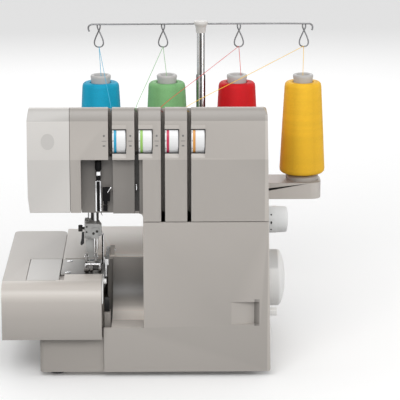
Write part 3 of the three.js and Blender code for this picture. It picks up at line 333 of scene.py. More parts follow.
def wound_thread(name, colour, axis_place):
    """Thread laid in steep crossing turns round a package; the pattern runs round the package's own axis."""
    material, tree, shader = new_material(name)
    spot = coordinates(tree, offset=(-axis_place[0], -axis_place[1], 0))
    split = add_node(tree, "ShaderNodeSeparateXYZ", Vector=spot)
    angle = calculate(tree, "ARCTAN2", split.outputs["Y"], split.outputs["X"])
    height = calculate(tree, "MULTIPLY", split.outputs["Z"], THREAD_TURNS_PER_METRE)
    waves = []
    for lean in (THREAD_LEAN, -THREAD_LEAN):
        phase = calculate(tree, "ADD", height, calculate(tree, "MULTIPLY", angle, float(lean)))
        waves.append(calculate(tree, "SINE", phase))
    cross = calculate(tree, "MULTIPLY", calculate(tree, "MAXIMUM", *waves), 0.30)
    fuzz = noise(tree, spot, 900.0, 4.0)
    bands = noise(tree, coordinates(tree, scale=(6, 6, 160)), 1.0, 3.0)
    level = calculate(tree, "ADD", cross, calculate(tree, "MULTIPLY", fuzz, 0.7))
    tint = add_ramp(tree, level, [(0.1, scaled(colour, 0.76)), (0.52, colour), (0.95, scaled(colour, 1.25))])
    shade = add_ramp(tree, bands, [(0.3, 0.94), (0.7, 1.0)])
    feed(tree, shader.inputs["Base Color"], mix_colours(tree, "MULTIPLY", 1, tint, shade))
    feed(tree, shader.inputs["Roughness"], add_ramp(tree, fuzz, [(0.3, 0.48), (0.7, 0.66)]))
    feed(tree, shader.inputs["Specular IOR Level"], 0.25)
    add_bump(tree, shader, level, 0.5, 0.0004)
    return material


BODY = (0.435, 0.405, 0.375)
PALE = (0.62, 0.60, 0.575)
BASE = (0.34, 0.315, 0.29)
WHITE = (0.80, 0.80, 0.785)
BLACK = (0.012, 0.012, 0.013)
THREADS = {
    1: (0.005, 0.38, 0.60),
    2: (0.23, 0.50, 0.21),
    3: (0.66, 0.006, 0.012),
    4: (1.0, 0.55, 0.03),
}


# ---- mesh helpers ----------------------------------------------------------------------------------


def make_object(name, build, material):
    """Makes a mesh object from a bmesh builder."""
    mesh = bpy.data.meshes.new(name)
    form = bmesh.new()
    build(form)
    bmesh.ops.recalc_face_normals(form, faces=form.faces)
    form.to_mesh(mesh)
    form.free()
    mesh.materials.append(material)
    made = bpy.data.objects.new(name, mesh)
    bpy.context.scene.collection.objects.link(made)
    return made


def new_piece(name, build, body, material, smooth=40):
    """Makes a piece of the machine, lets it ride on a body and gives it its finish."""
    piece = make_object(name, build, material)
    piece.data.shade_smooth()
    piece.data.set_sharp_from_angle(angle=math.radians(smooth))
    if body:
        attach(piece, body)
    return piece


def stand_in(node, name, build, body, material, smooth=40):
    """Makes a piece that is shown in place of a CAD node."""
    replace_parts(new_piece(name, build, body, material, smooth), node)


def ring_places(radius, sides):
    """Points round a circle, as (x, y) pairs."""
    angles = [2 * math.pi * step / sides for step in range(sides)]
    return [(radius * math.cos(angle), radius * math.sin(angle)) for angle in angles]


def bridge(form, lower, upper):
    """Faces between two closed rings of vertices."""
    for step, (first, second) in enumerate(zip(lower, upper)):
        after = (step + 1) % len(lower)
        form.faces.new((first, lower[after], upper[after], second))


def cap_ends(form, first, last):
    form.faces.new(list(reversed(first)))
    form.faces.new(last)


def round_edges(form, edges, width, segments=2):
    bmesh.ops.bevel(form, geom=list(edges), offset=width, segments=segments, profile=0.5, affect="EDGES")


def add_box(form, low, high, bevel=0.0, segments=2):
    """A box between two corners in metres, with rounded edges."""
    low, high = Vector(low), Vector(high)
    shape = Matrix.Translation((low + high) / 2) @ Matrix.Diagonal((*(high - low), 1))
    made = bmesh.ops.create_cube(form, size=1, matrix=shape)
    if bevel:
        round_edges(form, {edge for vertex in made["verts"] for edge in vertex.link_edges}, bevel, segments)


# The helpers below take places and sizes in the machine's own millimetres.


def add_block(form, low, high, bevel=0.0, segments=2):
    add_box(form, place(*low), place(*high), bevel * MM, segments)


TURNS = {
    "x": Matrix.Rotation(math.pi / 2, 4, "Y"),
    "y": Matrix.Rotation(-math.pi / 2, 4, "X"),
    "front": Matrix.Rotation(math.pi / 2, 4, "X"),
    "z": Matrix.Identity(4),
}


def add_turned(form, profile, spot, axis="z", sides=48, ribs=0, rib_depth=0.0):
    """A turned body of (radius, height) rows; ribs cut grooves round it at rows with a third value."""
    seat = Matrix.Translation(place(*spot)) @ TURNS[axis]
    rings = []
    for radius, height, *grooved in profile:
        ring = []
        for step in range(sides):
            angle = 2 * math.pi * step / sides
            groove = rib_depth * (0.5 + 0.5 * math.cos(angle * ribs)) if grooved else 0
            across = (radius - groove) * math.cos(angle)
            along = (radius - groove) * math.sin(angle)
            ring.append(form.verts.new(seat @ (Vector((across, along, height)) * MM)))
        rings.append(ring)
    for lower, upper in zip(rings, rings[1:]):
        bridge(form, lower, upper)
    cap_ends(form, rings[0], rings[-1])


def turned(profile, spot, **how):
    """Builder of one turned body."""

    def build(form):
        add_turned(form, profile, spot, **how)

    return build


def hollow_turned(outer, inner, spot, sides=48):
    """Builder of a turned tube: the outer profile from the bottom up, the inner one from the top down."""
    x, y, z = spot

    def build(form):
        rings = []
        for radius, height in outer + inner:
            ring = ring_places(radius, sides)
            rings.append([form.verts.new(place(x + u, y + v, z + height)) for u, v in ring])
        for lower, upper in zip(rings, rings[1:] + rings[:1]):
            bridge(form, lower, upper)

    return build


def add_prism(form, outline, axis, start, end):
    """A flat outline pushed along x or y; its points give the two other coordinates."""

    def spot(along, u, v):
        return place(along, u, v) if axis == "x" else place(u, along, v)

    rings = [[form.verts.new(spot(along, *point)) for point in outline] for along in (start, end)]
    bridge(form, *rings)
    cap_ends(form, *rings)


def smooth_path(points, steps=8):
    """Places along a smooth curve that passes through the given points."""
    spots = [place(*point) for point in points]
    ends = [2 * spots[0] - spots[1], *spots, 2 * spots[-1] - spots[-2]]
    path = []
    for first, second, third, fourth in zip(ends, ends[1:], ends[2:], ends[3:]):
        for step in range(steps):
            t = step / steps
            path.append(0.5 * (2 * second + (third - first) * t
                        + (2 * first - 5 * second + 4 * third - fourth) * t ** 2
                        + (3 * second - first - 3 * third + fourth) * t ** 3))
    return path + [spots[-1]]


def add_wire(form, points, radius, sides=8, steps=6):
    """A round wire along a smooth curve, with its ends closed."""
    path = smooth_path(points, steps)
    rings = []
    side = None
    for index, spot in enumerate(path):
        before = path[max(index - 1, 0)]
        after = path[min(index + 1, len(path) - 1)]
        along = (after - before).normalized()
        if side is None:
            side = along.orthogonal().normalized()
        side = (side - along * side.dot(along)).normalized()
        up = along.cross(side)
        rings.append([form.verts.new(spot + u * side + v * up) for u, v in ring_places(radius * MM, sides)])
    for lower, upper in zip(rings, rings[1:]):
        bridge(form, lower, upper)
    cap_ends(form, rings[0], rings[-1])


def soften(node, width=0.9, segments=3, angle=32):
    """Joins, cleans and rounds the edges of a CAD node without moving it."""
    piece = NODES[node]
    weld = piece.modifiers.new("weld", "WELD")
    weld.merge_threshold = 0.02 * MM
    flat = piece.modifiers.new("flat", "DECIMATE")
    flat.decimate_type = "DISSOLVE"
    flat.angle_limit = math.radians(1.5)
    flat.delimit = set()
    bevel = piece.modifiers.new("bevel", "BEVEL")
    bevel.width = width * MM
    bevel.segments = segments
    bevel.limit_method = "ANGLE"
    bevel.angle_limit = math.radians(angle)
    bevel.harden_normals = False
    bevel.miter_outer = "MITER_ARC"
    piece.data.shade_smooth()
    normals = piece.modifiers.new("normals", "WEIGHTED_NORMAL")
    normals.keep_sharp = False
    normals.weight = 60


def dress(node, finish):
    piece = NODES[node]
    piece.data.materials.clear()
    piece.data.materials.append(MACHINE[finish])


# ---- finishes --------------------------------------------------------------------------------------

# painted shade inside the recess under the head, for its deep part and its shallow panel
BAY_SHADE = [(0.0, 0.46), (0.55, 0.34), (1.0, 0.24)]
BAY_PANEL_SHADE = [(0.0, 0.46), (0.5, 0.52), (1.0, 0.48)]
# painted shade on the scoop's back wall and painted light on its floor, from low to high
SCOOP_LIGHT_AND_SHADE = [
    (0.0, 2.4), (0.12, 2.4), (0.19, 1.25), (0.27, 0.72), (0.33, 0.43), (0.37, 0.28),
    (0.44, 0.24), (0.51, 0.28), (0.6, 0.35), (0.78, 0.48), (1.0, 0.66),
]
# painted light and shade down the cloth plate's front: darker low, a painted highlight near the top
PLATE_FRONT_LIGHT_AND_SHADE = [(0.0, 0.76), (0.4, 0.92), (0.68, 1.15), (0.8, 1.38), (0.9, 1.22), (1.0, 1.4)]


def even(level):
    return [(0.0, level), (1.0, level)]


# Slow changes of painted light and shade in the plastic and on the knife: two corners in machine millimetres,
# an axis and greys along it.
HEAD_ZONES = [
    # painted shade in the recess under the head, deep part and shallow panel
    ((-97.65, 0.7, 187), (-62.9, 30, 251.3), "Z", BAY_SHADE),
    ((-62.9, 0.7, 187), (-29.6, 30, 251.3), "Z", BAY_PANEL_SHADE),
    # painted shade down the second thread slot
    ((-39.2, 2.2, 187), (-33.4, 40, 251.3), "Z", even(0.35)),
    # painted shade on the front below the dial panel
    ((-110, -1, 180), (114, 0.7, 251.2), "Z", even(0.85)),
    # painted shade on the band above the dial panel
    ((-110, 3.4, 293.7), (114, 9.6, 306.4), "Z", even(0.76)),
    # painted highlight along the right edge of the column
    ((104.6, -1, 180), (114, 9, 300), "X", even(1.25)),
]
FACE_ZONES = [
    # painted shade on the face cover below the panel
    ((-160, -1, 190), (-108, 0.7, 251.2), "Z", even(0.93)),
    # painted shade on the band above the panel
    ((-160, 3.4, 293.7), (-108, 9.6, 307.4), "Z", even(0.76)),
]
DOOR_ZONES = [
    # painted shade on the scoop's back wall, painted light on its floor
    ((-66.5, 31, 50), (-27, 96, 113.5), "Z", SCOOP_LIGHT_AND_SHADE),
    # painted light on the scoop's front ledge
    ((-66.5, 0.5, 50), (-27, 31, 58.9), "Z", even(1.5)),
    # painted shade on the right wall of the thumb recess
    ((93.9, -0.5, 60), (99.7, 11.5, 91), "X", [(0.0, 0.42), (1.0, 0.75)]),
    # painted shade: the door darker towards the bottom
    ((-80, -1, 5), (114, 0.4, 181), "Z", [(0.0, 0.82), (1.0, 1.0)]),
    # painted highlight along the door's right edge
    ((108.6, -1, 5), (114, 2, 181), "X", even(1.25)),
]
ARM_ZONES = [
    # painted light on the rear bed under the head
    ((-130, 99, 111), (-28, 233, 114), "Y", [(0.0, 1.7), (0.5, 1.7), (1.0, 1.5)]),
    # painted shade on the wall behind the scoop
    ((-75, 98, 8), (-60, 100, 110), "Z", even(0.45)),
]
# painted light on the front strip of the cloth plate's top
PLATE_TOP_ZONES = [((-128, 12, 108), (-70, 37.6, 111), "Y", even(1.5))]
PLATE_FRONT_ZONES = [((-190, -9, 46), (-70, 13, 111), "Z", PLATE_FRONT_LIGHT_AND_SHADE)]
# painted shadow of the spool tray on the top of the handwheel's rim
WHEEL_ZONES = [((110, 80, 99), (124.8, 160, 116), "Z", [(0.0, 0.95), (0.12, 0.78), (1.0, 0.72)])]
# painted light on the spool tray, strongest at its front
TRAY_ZONES = [((-110, 211, 150), (185, 226, 171), "Y", [(0.0, 1.34), (0.08, 1.34), (1.0, 1.0)])]
# painted shade: the left part of the upper knife darkened almost to black
KNIFE_ZONES = [((-78, 60, 112), (-76.0, 70, 152), "Z", even(0.03))]

CONE_CENTRES = (-82.4, -3.1, 81.0, 160.4)
CONE_Y = 235.5
MAST_X = 37.6
NEEDLE_X = -83.6
NEEDLE_Y = 58.0
PRESSER_X = -90.0
CLAMP_BOTTOM = 151.0
CLAMP_TOP = 165.2
CLAMP_FRONT = NEEDLE_Y - 7
MAST_RADIUS = 5.6
# painted reflection bands across the mast and the bars, from their left to their right side
MAST_REFLECTION_BANDS = [
    (0.08, 0.10), (0.2, 0.85), (0.38, 0.9), (0.43, 0.06), (0.53, 0.10),
    (0.6, 0.8), (0.75, 0.85), (0.83, 0.10), (0.96, 0.2),
]
BAR_RADIUS = 3.2
BAR_REFLECTION_BANDS = [(0.0, 0.05), (0.14, 0.08), (0.22, 0.8), (0.5, 0.9), (0.58, 0.25), (0.78, 0.06), (1.0, 0.5)]

MACHINE = {
    "body": plastic("body_shell_plastic", BODY),
    # copies of the body plastic carry painted light and shade from the zone tables
    "head": plastic("head_shell_plastic", BODY, zones=HEAD_ZONES),
    "door": plastic("looper_door_plastic", BODY, zones=DOOR_ZONES),
    "tray": plastic("spool_tray_plastic", BODY, zones=TRAY_ZONES),
    # painted light: the arm cover is the body plastic made lighter, for the bed under the head
    "arm": plastic("arm_cover_plastic", scaled(BODY, 1.35), zones=ARM_ZONES),
    "plate_top": plastic("cloth_plate_plastic", BODY, zones=PLATE_TOP_ZONES),
    "plate_front": plastic("cloth_plate_front_plastic", BODY, zones=PLATE_FRONT_ZONES),
    "face": plastic("face_cover_plastic", PALE, zones=FACE_ZONES),
    "pale": plastic("pale_cover_plastic", PALE),
    "inset": plastic("inset_plastic", scaled(PALE, 0.87)),
    "base": plastic("base_grey_plastic", BASE, 0.5),
    "white": plastic("white_plastic", WHITE, 0.35),
    "black": plastic("black_plastic", BLACK, 0.4, 0.2),
    "deep_black": plastic("deep_black_plastic", scaled(BLACK, 0.4), 0.55, 0.1, gloss=0.12),
    "rubber": rubber("foot_rubber"),
    "cast": cast_metal("cast_frame_metal"),
    "chrome": polished_metal("chrome_plate", (0.82, 0.82, 0.83), 0.08),
    "satin": polished_metal("satin_steel", (0.66, 0.66, 0.67), 0.26),
    "steel": ground_steel("ground_steel", along="x"),
    "plate": ground_steel("plate_steel", (0.27, 0.26, 0.25), roughness=0.34),
    "steel_y": ground_steel("ground_steel_across", along="y"),
    "steel_z": ground_steel("ground_steel_upright", along="z"),
    "knife": polished_metal("knife_steel", (0.7, 0.7, 0.7), 0.25, zones=KNIFE_ZONES),
    "mast": drawn_tube("mast_tube_chrome", MAST_X, MAST_RADIUS, MAST_REFLECTION_BANDS),
    "bars": drawn_tube("bar_chrome", PRESSER_X, BAR_RADIUS, BAR_REFLECTION_BANDS),
    "needle_bar": drawn_tube("needle_bar_chrome", NEEDLE_X, BAR_RADIUS, BAR_REFLECTION_BANDS),
    "wire": polished_metal("guide_wire_plate", (0.27, 0.27, 0.28), 0.25),
    "clamp": polished_metal("clamp_nickel", (0.44, 0.44, 0.43), 0.34, 0.4),
    "foot": polished_metal("foot_nickel", (0.40, 0.39, 0.38), 0.24),
    "dark_steel": polished_metal("dark_steel", (0.06, 0.058, 0.055), 0.3),
    "core": plastic("core_plastic", (0.48, 0.47, 0.46), 0.45),
    "dial": plastic("dial_plastic", (0.80, 0.80, 0.80), 0.35, 0.05),
    "knob": plastic("knob_plastic", (0.72, 0.725, 0.72), 0.38),
    "wheel": plastic("handwheel_plastic", (0.86, 0.855, 0.84), 0.42, zones=WHEEL_ZONES),
    "inlay": plastic("inlay_plastic", (0.50, 0.485, 0.465), 0.35),
    "print": plastic("dark_print", (0.03, 0.03, 0.032), 0.6, 0.05),
    "print_grey": plastic("grey_print", (0.16, 0.155, 0.15), 0.6, 0.05),
    "ring_1": plastic("ring_blue", (0.01, 0.33, 0.55), 0.4, 0.05),
    "ring_2": plastic("ring_green", (0.30, 0.56, 0.12), 0.4, 0.05),
    "ring_3": plastic("ring_red", (0.55, 0.02, 0.08), 0.4, 0.05),
    "ring_4": plastic("ring_orange", (0.68, 0.30, 0.06), 0.4, 0.05),
    "strand_1": plastic("strand_blue", THREADS[1], 0.6),
    "strand_2": plastic("strand_green", THREADS[2], 0.6),
    "strand_3": plastic("strand_red", THREADS[3], 0.6),
    "strand_4": plastic("strand_yellow", THREADS[4], 0.6),
}


# CAD nodes that keep their own shape: finish, colour slot and width of the rounded edges in millimetres.
DRESSED = {
    "front_cover": ("head", "body_plastic", 1.1),
    "rear_shell": ("body", "body_plastic", 1.1),
    "looper_cover": ("door", "body_plastic", 1.1),
    "arm_cover": ("arm", "body_plastic", 1.1),
    "face_cover": ("face", "pale_plastic", 1.6),
    "base_shell": ("base", "base_plastic", 1.2),
    "cloth_plate_top": ("plate_top", "body_plastic", 1.0),
    "cloth_plate_front": ("plate_front", "body_plastic", 1.0),
    "cloth_plate_inset": ("inset", "pale_plastic", 0.7),
    "cloth_plate_edge": ("white", "white_plastic", 0.3),
    "foot_1": ("rubber", "rubber_black", 0.8),
    "foot_2": ("rubber", "rubber_black", 0.8),
    "foot_3": ("rubber", "rubber_black", 0.8),
    "foot_4": ("rubber", "rubber_black", 0.8),
    "spool_tray": ("tray", "body_plastic", 1.0),
    "needle_plate": ("plate", "bright_steel", 0.6),
    "frame_casting": ("cast", "cast_metal", 1.0),
    "motor": ("satin", "bright_steel", 1.2),
    "motor_pulley": ("white", "white_plastic", 0.4),
    "drive_belt": ("rubber", "rubber_black", 0.3),
    "main_shaft": ("steel", "bright_steel", 0.4),
    "looper_cover_rod": ("steel", "bright_steel", 0.4),
    "power_button": ("wheel", "body_plastic", 0.8),
    "mains_inlet": ("black", "black_plastic", 0.6),
    "needle_bar": ("needle_bar", "chrome_metal", 0.3),
    "presser_bar": ("bars", "chrome_metal", 0.3),
    "lifter_lever": ("white", "white_plastic", 1.0),
    "upper_knife": ("knife", "bright_steel", 0.3),
    "lower_knife": ("steel_z", "bright_steel", 0.3),
    "upper_looper": ("chrome", "chrome_metal", 0.3),
    "lower_looper": ("chrome", "chrome_metal", 0.3),
    "feed_dog": ("steel_y", "bright_steel", 0.2),
    "edge_lever": ("black", "black_plastic", 0.5),
}


def dress_nodes():
    for node, (finish, slot, width) in DRESSED.items():
        soften(node, width)
        dress(node, finish)


# ---- cones, cores and tray -------------------------------------------------------------------------

CONE_PROFILE = [
    (8, 183), (22, 180.2), (25.2, 180.6), (26.9, 182.4), (27.3, 185.2), (27.0, 190), (24.7, 238),
    (22.1, 286.2), (21.4, 289.2), (19.8, 290.9), (17, 291.6), (13, 291.2), (12.4, 289.4), (8, 288.6),
]
CORE_OUTER = [(8, 181), (10.5, 181), (11.2, 289), (11.7, 294.8), (12.2, 298), (12.0, 299.6), (11.0, 300.4)]
CORE_INNER = [(8.6, 300.2), (7.6, 298.9), (7.1, 293.8), (6.6, 262), (6.2, 181)]


def make_cone(number):
    spot = (CONE_CENTRES[number - 1], CONE_Y, 0)
    body = f"cone_{number}"
    wound = wound_thread(f"wound_thread_{number}", THREADS[number], place(*spot))
    package = turned(CONE_PROFILE, spot, sides=72)
    core = hollow_turned(CORE_OUTER, CORE_INNER, spot)
    grey = MACHINE["core"]
    stand_in(f"cone_thread_{number}", f"thread_package_{number}", package, body, wound, smooth=50)
    stand_in(f"cone_core_{number}", f"package_core_{number}", core, body, grey, smooth=50)


# ---- thread mast, guide bar and threads ------------------------------------------------------------

BAR_Z = 361.2
BAR_WIRE = 1.0
EYE_WIRE = 0.85
EYE_CENTRES = (-84.0, -7.4, 83.1, 160.8)
EYE_BOTTOM = 333.0
SLOT_CENTRES = (-65.1, -36.3, -7.5, 21.3)
THREAD_START = (0.6, 0.0, 5.0, -0.3)
THREAD_WIRE = 0.32


def eyelet_points(x):
    """The wire leaves the bar, crosses itself under it and opens into a drop."""
    side = [
        (1.6, -0.9, BAR_Z - 0.6), (1.8, -1.0, 358.2), (0.9, -1.0, 355.2), (-0.7, -0.9, 352.2),
        (-2.6, -0.5, 348), (-4.4, 0, 343.6), (-5.3, 0, 340), (-5.0, 0, 336.8), (-3.0, 0, 334.5),
    ]
    near = [(x + u, CONE_Y + v, z) for u, v, z in side]
    far = [(x - u, CONE_Y - v, z) for u, v, z in reversed(side)]
    return near + [(x, CONE_Y, EYE_BOTTOM + EYE_WIRE)] + far


def make_guide_bar():
    left = [(-95.2, -8.6), (-96.4, -5.6), (-96.0, -2.4), (-93.4, -0.5), (-89.5, 0)]
    right = [(163.5, 0.2), (167.8, 0.1), (170.4, -1.8), (171.0, -5.0), (170.2, -7.6)]
    middle = [(-60, 0), (0, 0.3), (MAST_X, 0.4), (90, 0.5), (140, 0.5)]

    def build(form):
        add_wire(form, [(x, CONE_Y, BAR_Z + lift) for x, lift in left + middle + right], BAR_WIRE, 12, 5)
        for x in EYE_CENTRES:
            add_wire(form, eyelet_points(x), EYE_WIRE, 10, 4)

    stand_in("guide_bar", "guide_bar_wire", build, "mast", MACHINE["wire"])


def make_mast():
    spot = (MAST_X, CONE_Y, 0)
    outer = [(MAST_RADIUS, 155.9), (MAST_RADIUS, 299), (5.4, 300)]
    bore = [(4.9, 300), (4.9, 155.9)]
    inner = [(4.65, 186), (4.65, 356)]
    cap = [
        (5.0, 351), (5.6, 351.2), (5.8, 352.2), (6.0, 356.5), (7.0, 359.6), (8.1, 361.2),
        (8.4, 362.4), (8.3, 363.8), (7.4, 364.8), (6.4, 365), (1.0, 364.7),
    ]
    lower = hollow_turned(outer, bore, spot)
    stand_in("mast_outer", "mast_lower_tube", lower, "frame", MACHINE["mast"])
    stand_in("mast_inner", "mast_upper_tube", turned(inner, spot), "mast", MACHINE["mast"])
    stand_in("mast_cap", "mast_top_cap", turned(cap, spot), "mast", MACHINE["pale"])


def make_strand(number, name, points):
    """One stretch of a thread, which reaches from a fixed end to an end on the mast."""

    def build(form):
        add_wire(form, points, THREAD_WIRE, 6, 16)

    return new_piece(f"{name}_{number}", build, None, MACHINE[f"strand_{number}"])


def make_threads():
    """Each thread rises from its core to the eyelet, and runs from there down into its slot."""
    for number in range(1, 5):
        eye = EYE_CENTRES[number - 1]
        slot = SLOT_CENTRES[number - 1]
        low = (CONE_CENTRES[number - 1] + THREAD_START[number - 1], CONE_Y, 296.7)
        high = (eye, CONE_Y + 0.6, EYE_BOTTOM + 1.5)
        crest = (eye, CONE_Y - 0.6, EYE_BOTTOM + 1.5)
        entry = (slot, 37, 304.1)
        halfway = [(start + end) / 2 for start, end in zip(crest, entry)]
        rise = make_strand(number, "thread_rise", [low, high])
        fall = make_strand(number, "thread_fall", [crest, halfway, entry, (slot, 36.5, 296.7)])
        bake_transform(rise)
        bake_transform(fall)
        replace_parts(rise, f"thread_{number}")
        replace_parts(fall, f"thread_{number}")


# ---- dials, knob and handwheel ---------------------------------------------------------------------

DIAL_LEFTS = (-62.8, -34.0, -5.2, 23.6)
DIAL_WIDTH = 14.6
DIAL_RADIUS = 20.0
DIAL_Y = 18.8
DIAL_Z = 272.6
FIGURE_BAND = 1.8
RING_BAND = 2.7
FIGURE_SIZE = 2.6
WINDOW_WIDTH = 15.2
WINDOW_LOW = 257.9
WINDOW_HIGH = 284.6
FIGURE_STEP = 27                  # degrees between two figures
PANEL_LOW = 251.2
PANEL_HIGH = 293.6
PANEL_LEAN = 3.5                  # how far the top of the panel lies behind its foot


def add_figures(form, left):
    """The figures 0 to 9 round a dial, as thin raised shapes that read from the front."""
    for value in range(10):
        text = bpy.data.curves.new("figure", "FONT")
        text.body = str(value)
        text.size = FIGURE_SIZE * MM
        text.extrude = 0.06 * MM
        text.align_x = "CENTER"
        text.align_y = "CENTER"
        holder = bpy.data.objects.new("figure", text)
        bpy.context.scene.collection.objects.link(holder)
        bpy.context.view_layer.update()
        shape = bpy.data.meshes.new_from_object(holder.evaluated_get(bpy.context.evaluated_depsgraph_get()))
        turn = Matrix.Rotation(math.radians((value - 4) * FIGURE_STEP), 4, "X")
        centre = Matrix.Translation(place(left + FIGURE_BAND / 2, DIAL_Y, DIAL_Z))
        out = Matrix.Translation((0, -(DIAL_RADIUS + 0.02) * MM, 0))
        shape.transform(centre @ turn @ out @ Matrix.Rotation(math.pi / 2, 4, "X"))
        form.from_mesh(shape)
        bpy.data.objects.remove(holder)
        bpy.data.curves.remove(text)
        bpy.data.meshes.remove(shape)


def make_dial(number):
    left = DIAL_LEFTS[number - 1]
    radius = DIAL_RADIUS
    split = FIGURE_BAND + RING_BAND
    band = [(3, 0.05), (radius - 0.5, 0.05), (radius, 0.5), (radius, FIGURE_BAND)]
    ring = [
        (3, FIGURE_BAND + 0.02), (radius - 0.1, FIGURE_BAND + 0.02), (radius + 0.05, FIGURE_BAND + 0.3),
        (radius + 0.05, split - 0.3), (radius - 0.2, split),
    ]
    grip = [
        (3, split + 0.02), (radius - 0.5, split + 0.02), (radius, split + 0.5, 1),
        (radius, DIAL_WIDTH - 0.6, 1), (radius - 0.6, DIAL_WIDTH), (3, DIAL_WIDTH), (3, DIAL_WIDTH + 2),
    ]
    parts = {
        "figure_band": (band, "dial", 96, 0),
        "colour_ring": (ring, f"ring_{number}", 96, 0),
        "grip_drum": (grip, "dial", 240, 60),
    }
    body = f"dial_{number}"
    for name, (profile, finish, sides, ribs) in parts.items():
        build = turned(profile, (left, DIAL_Y, DIAL_Z), axis="x", sides=sides, ribs=ribs, rib_depth=0.16)
        node = f"tension_dial_{number}"
        stand_in(node, f"{body}_{name}", build, body, MACHINE[finish], smooth=30)

    def figures(form):
        add_figures(form, left)

    new_piece(f"{body}_figures", figures, body, MACHINE["print"])


def panel_front(z):
    """Y of the leaning dial panel at height z."""
    return PANEL_LEAN * (z - PANEL_LOW) / (PANEL_HIGH - PANEL_LOW)


def add_on_panel(form, centre, half_width, half_height, power, proud):
    """A thin rounded patch that lies on the leaning panel; a lower power makes it squarer."""
    rings = []
    for depth in (0.1, -proud):
        ring = []
        for u, v in ring_places(1, 45):
            x = centre[0] + math.copysign(abs(u) ** power, u) * half_width
            z = centre[1] + math.copysign(abs(v) ** power, v) * half_height
            ring.append(form.verts.new(place(x, panel_front(z) + depth, z)))
        rings.append(ring)
    bridge(form, *rings)
    cap_ends(form, *rings)


def make_dial_marks():
    """A dot, a line and a short bar are printed left of every dial."""

    def build(form):
        for left in DIAL_LEFTS:
            x = left - 9.0
            add_on_panel(form, (x, 277.6), 1.15, 1.15, 1, 0.12)
            add_on_panel(form, (x, 271.9), 2.5, 0.3, 0.5, 0.12)
            add_on_panel(form, (x, 266.6), 1.5, 0.75, 0.5, 0.12)

    new_piece("dial_marks", build, "frame", MACHINE["print_grey"])


def make_window_lips():
    """Black strips painted as the shadow gaps at each dial window, just in front of the drum, and a header
    that frames each window.
    """

    # black strips as painted shadow in the gaps round the window
    def lips(form):
        for left in DIAL_LEFTS:
            right = left + WINDOW_WIDTH
            add_block(form, (left - 0.3, 1.5, WINDOW_HIGH - 0.5), (right, 2.25, WINDOW_HIGH + 0.5))
            add_block(form, (right - 0.55, 0.9, WINDOW_LOW), (right + 0.2, 5.2, WINDOW_HIGH + 0.5))
            add_block(form, (left - 0.3, 2.4, WINDOW_LOW - 0.4), (right, 4.4, WINDOW_LOW + 0.5))

    def headers(form):
        side = [(2.3, WINDOW_HIGH), (2.6, WINDOW_HIGH), (4.4, 287.5), (4.6, 289.5), (3.1, 289.5)]
        for left in DIAL_LEFTS:
            add_prism(form, side, "x", left - 0.2, left + WINDOW_WIDTH + 0.2)

    new_piece("window_shadow_strips", lips, "frame", MACHINE["black"])
    new_piece("window_headers", headers, "frame", MACHINE["head"])


KNOB_CENTRE = (110.2, 50, 170)
KNOB_RADIUS = 15.3
WHEEL_CENTRE = (112.8, 120, 80.8)
WHEEL_RADIUS = 33


def make_stitch_knob():
    profile = [
        (5.6, -8), (5.6, 0), (14.6, 0.1), (15.2, 0.8), (15.3, 9.0), (15.1, 9.6), (15.0, 10, 1),
        (14.9, 10.5, 1), (14.5, 19.4, 1), (13.9, 21.0), (12.6, 21.8), (9, 22.2), (0.6, 22.3),
    ]
    build = turned(profile, KNOB_CENTRE, axis="x", sides=240, ribs=60, rib_depth=0.22)
    grey = MACHINE["knob"]
    stand_in("stitch_length_knob", "stitch_length_dial", build, "stitch_knob", grey, 30)

    def marks(form):
        x, y, z = KNOB_CENTRE
        out = Matrix.Translation((0, -KNOB_RADIUS * MM, 0))
        for degrees, half_height in ((34, 0.9), (0, 1.7), (-34, 0.9)):
            turn = Matrix.Rotation(math.radians(-degrees), 4, "X")
            base = Matrix.Translation(place(x + 3.4, y, z)) @ turn @ out
            oval = [(0.95 * u, half_height * v) for u, v in ring_places(1, 20)]
            rings = []
            for depth in (0.1, -0.1):
                rings.append([form.verts.new(base @ (Vector((u, depth, v)) * MM)) for u, v in oval])
            bridge(form, *rings)
            cap_ends(form, *rings)

    new_piece("stitch_length_marks", marks, "stitch_knob", MACHINE["print"])


def make_handwheel():
    rim = [(6, 0.2), (30.5, 0.2), (32.3, 0.8), (WHEEL_RADIUS, 2.0), (WHEEL_RADIUS, 11.6), (32.9, 12.5)]
    angles = [math.radians(degrees) for degrees in range(8, 90, 6)]
    dome = [(WHEEL_RADIUS * math.cos(angle), 12.5 + 8.7 * math.sin(angle)) for angle in angles]
    build = turned(rim + dome + [(0.6, 21.2)], WHEEL_CENTRE, axis="x", sides=160)
    wheel = MACHINE["wheel"]
    stand_in("handwheel", "handwheel_rim", build, "main_shaft", wheel, smooth=28)


# ---- needle area -----------------------------------------------------------------------------------


def add_screw(form, spot, radius, height, slot_turn):
    """A slotted screw whose head looks towards the operator; spot is the seat of the head."""
    x, y, z = spot
    side = [(0.2, 0), (radius, 0), (radius, height * 0.55)]
    crown = [(radius * 0.86, height * 0.9), (radius * 0.6, height)]
    add_turned(form, side + crown, spot, "front", 28)
    half = radius * 0.8
    turn = Matrix.Rotation(slot_turn, 4, "Y")
    start = len(form.verts)
    add_block(form, (x - half, y - height - 0.05, z - 0.25), (x + half, y - height + 0.1, z + 0.25))
    form.verts.ensure_lookup_table()
    centre = place(*spot)
    for vertex in form.verts[start:]:
        vertex.co = centre + turn @ (vertex.co - centre)


